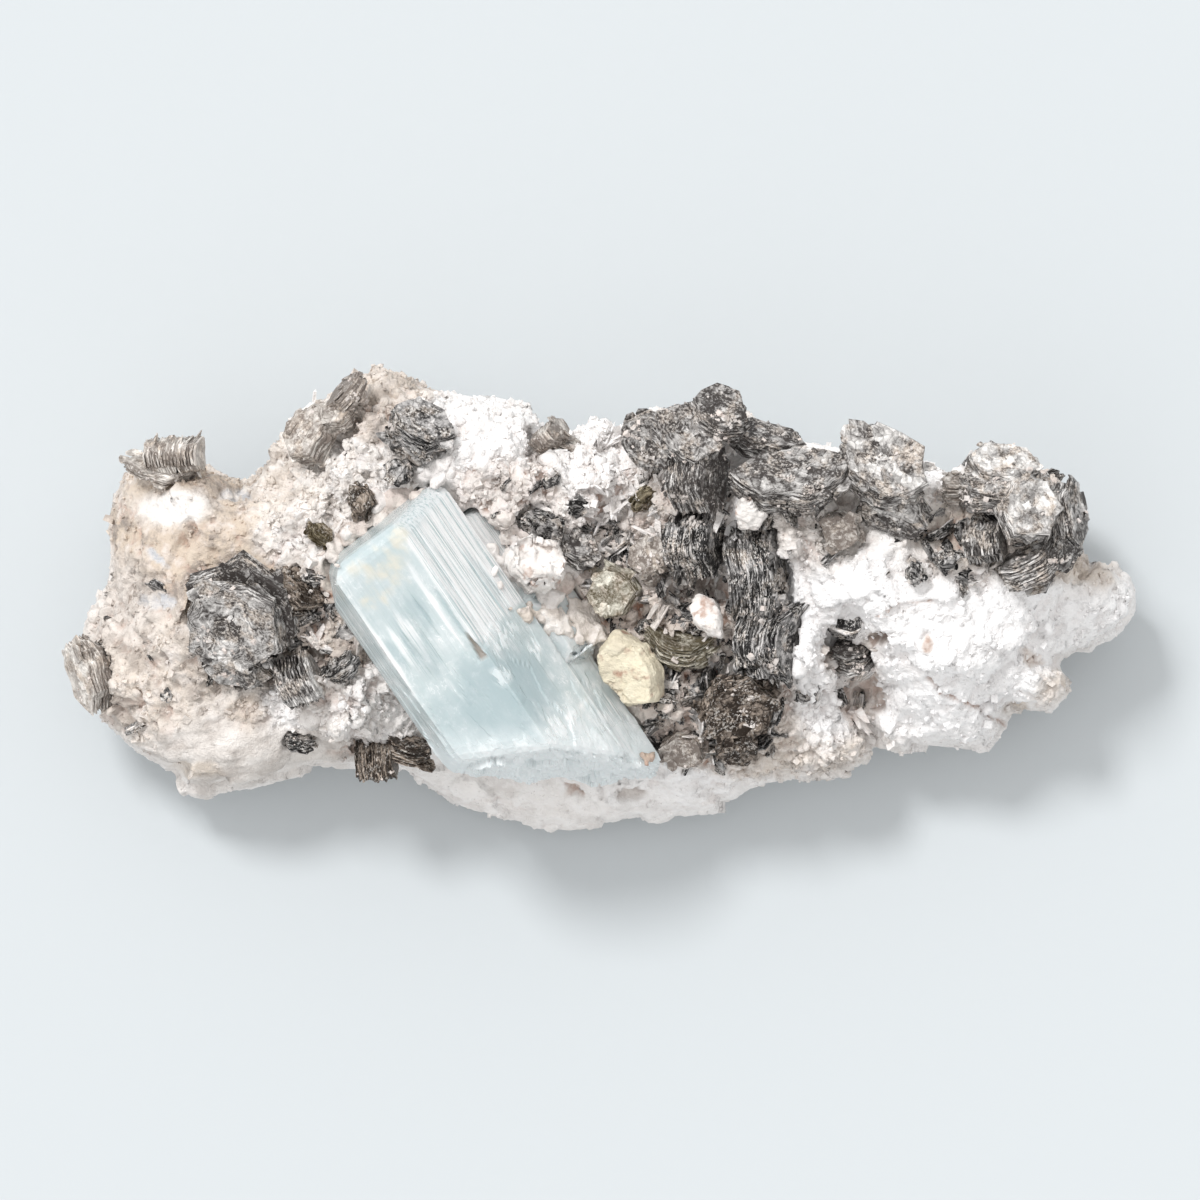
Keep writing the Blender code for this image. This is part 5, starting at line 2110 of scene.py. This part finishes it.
CRUSTS = (
    CrustPatch(-7.4, 4.3, 4.2, 3.2, -45, 300, 0.62, 0.2),
    CrustPatch(-5.0, 1.8, 2.2, 1.6, -30, 70, 0.45, 0.35, 0.5),
    CrustPatch(-8.0, -1.5, 1.6, 0.6, -15, 36, 0.34, 0.7),
    CrustPatch(-4.6, -2.4, 2.3, 0.9, -30, 120, 0.40, 0.5, 0.0),
    CrustPatch(-1.2, -2.8, 3.4, 1.3, -62, 150, 0.50, 0.45, 0.1),
    CrustPatch(5.4, -17.6, 0.8, 0.6, 0, 10, 0.30, 1.0, 0.8),
    CrustPatch(-9.8, 8.0, 1.6, 0.7, -50, 40, 0.40, 0.3, 0.3),
    CrustPatch(-29.4, 6.2, 1.0, 2.2, -10, 50, 0.38, 0.35, 0.2),
    CrustPatch(-25.2, 9.3, 7.0, 0.8, 34, 230, 0.42, 0.4, 0.4),
    CrustPatch(-27.0, 9.4, 4.0, 0.9, 35, 70, 0.5, 0.2, 0.2),
    CrustPatch(-18.6, 14.2, 2.2, 1.0, 25, 60, 0.46, 0.1, 0.1),
)


@dataclass
class AlbiteCrusts:
    """Albite that grew over the aquamarine's back and edges."""

    rock: AlbiteRock
    finish: AlbiteFinish
    patches: tuple[CrustPatch, ...] = CRUSTS
    voxel: float = 0.25

    def build(self) -> None:
        """Drops knobs onto the aquamarine, patch by patch."""
        grounds = (ground_of("aquamarine_crystal"), self.rock.ground)
        rng = np.random.default_rng(91)
        shapes = []
        for patch in self.patches:
            turn = math.radians(patch.turn)
            along, beside = rng.normal(0, 0.5, (2, patch.count))
            x = patch.x + along * patch.reach_x * math.cos(turn) - beside * patch.reach_y * math.sin(turn)
            y = patch.y + along * patch.reach_x * math.sin(turn) + beside * patch.reach_y * math.cos(turn)
            hits = [[ground.below(*spot) for ground in grounds] for spot in zip(x, y)]
            hits = [[hit for hit in pair if hit is not None] for pair in hits]
            found = [max(pair, key=lambda place: place[2]) for pair in hits if pair]
            places = np.array(found)
            size = draw_sizes(rng, patch.size, 0.12, 1.2, len(found))
            places[:, 2] += size * rng.uniform(-0.5, 0.35, len(found))
            lumps = knobs(places, size, rng)
            mesh = bpy.data.meshes.new("lumps")
            mesh.from_pydata(lumps.points.tolist(), [], lumps.faces.tolist())
            shape = evenly(bpy.data.objects.new("lumps", mesh), self.voxel, 5)
            chipped = Field(92).rough(shape.points, 1.4) + 0.5 * Field(93).chips(shape.points, 0.9)
            shape.points = shape.points + shape.normals() * (0.3 * chipped)[:, None]
            white = 0.9 - 0.8 * patch.cream
            shape.values = plain_stains(len(shape.points), patch.cream, patch.rust, white)
            shapes.append(shape)
        crust = make_object("albite_crust", joined(shapes), self.finish.material(), True)


# --- Studio ---
@dataclass
class Studio:
    """Pale floor, soft light from the upper left and a camera that looks straight down."""

    view_width: float = 134.4
    camera_height: float = 2000.0
    focus_height: float = 20.0
    sensor: float = 36.0
    floor_colour: Colour = (0.535, 0.565, 0.581)
    dim_sky: float = 0.72
    bright_sky: float = 1.20
    bright_side: Triple = (-0.42, 0.55, 0.72)
    sun_strength: float = 1.99
    sun_spread: float = 13.0
    sun_heading: Triple = (0.42, -0.60, -1.0)
    floor_reach: float = 3.0
    farthest: float = 10.0

    def build(self) -> None:
        """Makes the floor, the lights and the camera."""
        scene = bpy.context.scene
        scene.view_settings.view_transform = "Standard"
        self.add_sky()
        self.add_floor()
        sun = bpy.data.lights.new("soft_sun", "SUN")
        sun.energy = self.sun_strength
        sun.angle = math.radians(self.sun_spread)
        lamp = bpy.data.objects.new("soft_sun", sun)
        lamp.rotation_euler = Vector(self.sun_heading).to_track_quat("-Z", "Y").to_euler()
        scene.collection.objects.link(lamp)
        camera = bpy.data.cameras.new("overhead")
        camera.sensor_width = self.sensor
        camera.lens = self.sensor * (self.camera_height - self.focus_height) / self.view_width
        camera.clip_end = self.farthest
        stand = bpy.data.objects.new("overhead", camera)
        stand.location = (0.0, 0.0, self.camera_height * MM)
        scene.collection.objects.link(stand)
        scene.camera = stand

    def add_sky(self) -> None:
        """Lights the specimen all round, more from the upper left than from the lower right."""
        world = bpy.data.worlds.new("studio")
        world.use_nodes = True
        graph = Graph(world.node_tree)
        direction = graph.add("TexCoord").outputs["Generated"]
        towards = graph.add("VectorMath", {0: direction, 1: self.bright_side}, operation="DOT_PRODUCT")
        share = graph.range(towards.outputs["Value"], -0.5, 1.0)
        span = graph.times(share, self.bright_sky - self.dim_sky)
        strength = graph.plus(span, self.dim_sky)
        white = solid((1.0, 1.0, 1.0))
        graph.feed(graph.tree.nodes["Background"], {"Strength": strength, "Color": white})
        bpy.context.scene.world = world

    def add_floor(self) -> None:
        """Lays the pale floor."""
        mesh = bpy.data.meshes.new("floor")
        reach = self.floor_reach
        corners = [(-reach, -reach, 0), (reach, -reach, 0), (reach, reach, 0), (-reach, reach, 0)]
        mesh.from_pydata(corners, [], [(0, 1, 2, 3)])
        material, graph, shader = new_material("pale_paper")
        grain = graph.noise(graph.place(), 0.4, 2.0)
        tint = graph.mix(grain, self.floor_colour, tuple(0.995 * part for part in self.floor_colour))
        graph.feed(shader, {"Base Color": tint, "Roughness": 0.9, "Specular IOR Level": 0.1})
        mesh.materials.append(material)
        floor = bpy.data.objects.new("floor", mesh)
        bpy.context.scene.collection.objects.link(floor)


def main() -> None:
    """Builds the specimen and the studio."""
    logging.basicConfig(level=logging.INFO, format="%(name)s %(message)s")
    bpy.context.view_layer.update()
    rock = AlbiteRock()
    rock.build()
    cream = AlbiteFinish(name="cream_feldspar", white=(0.79, 0.73, 0.575), cream=(0.68, 0.54, 0.34))
    FeldsparPiece("cream_feldspar", "cream_feldspar", cream, 0.2, 0.0, 0.5, 4.6, 0.0, 0.1, 0.05).build()
    crust = AlbiteFinish(name="albite_overgrowth")
    FeldsparPiece("albite_overgrowth", "albite", crust, 0.25, 0.7, 0.9, 3.8, 0.7, 0.0, 0.06).build()
    for node in ("albite_blade_high", "albite_blade_low"):
        FeldsparPiece(node, "albite", AlbiteFinish(name=node), 0.1, 0.35, 0.3, 3.4, -0.15, 0.7).build()
    Mica(rock).build()
    Aquamarine().build()
    AlbiteCrusts(rock, AlbiteFinish(name="albite_crust")).build()
    Studio().build()


if __name__ == "__main__":
    main()
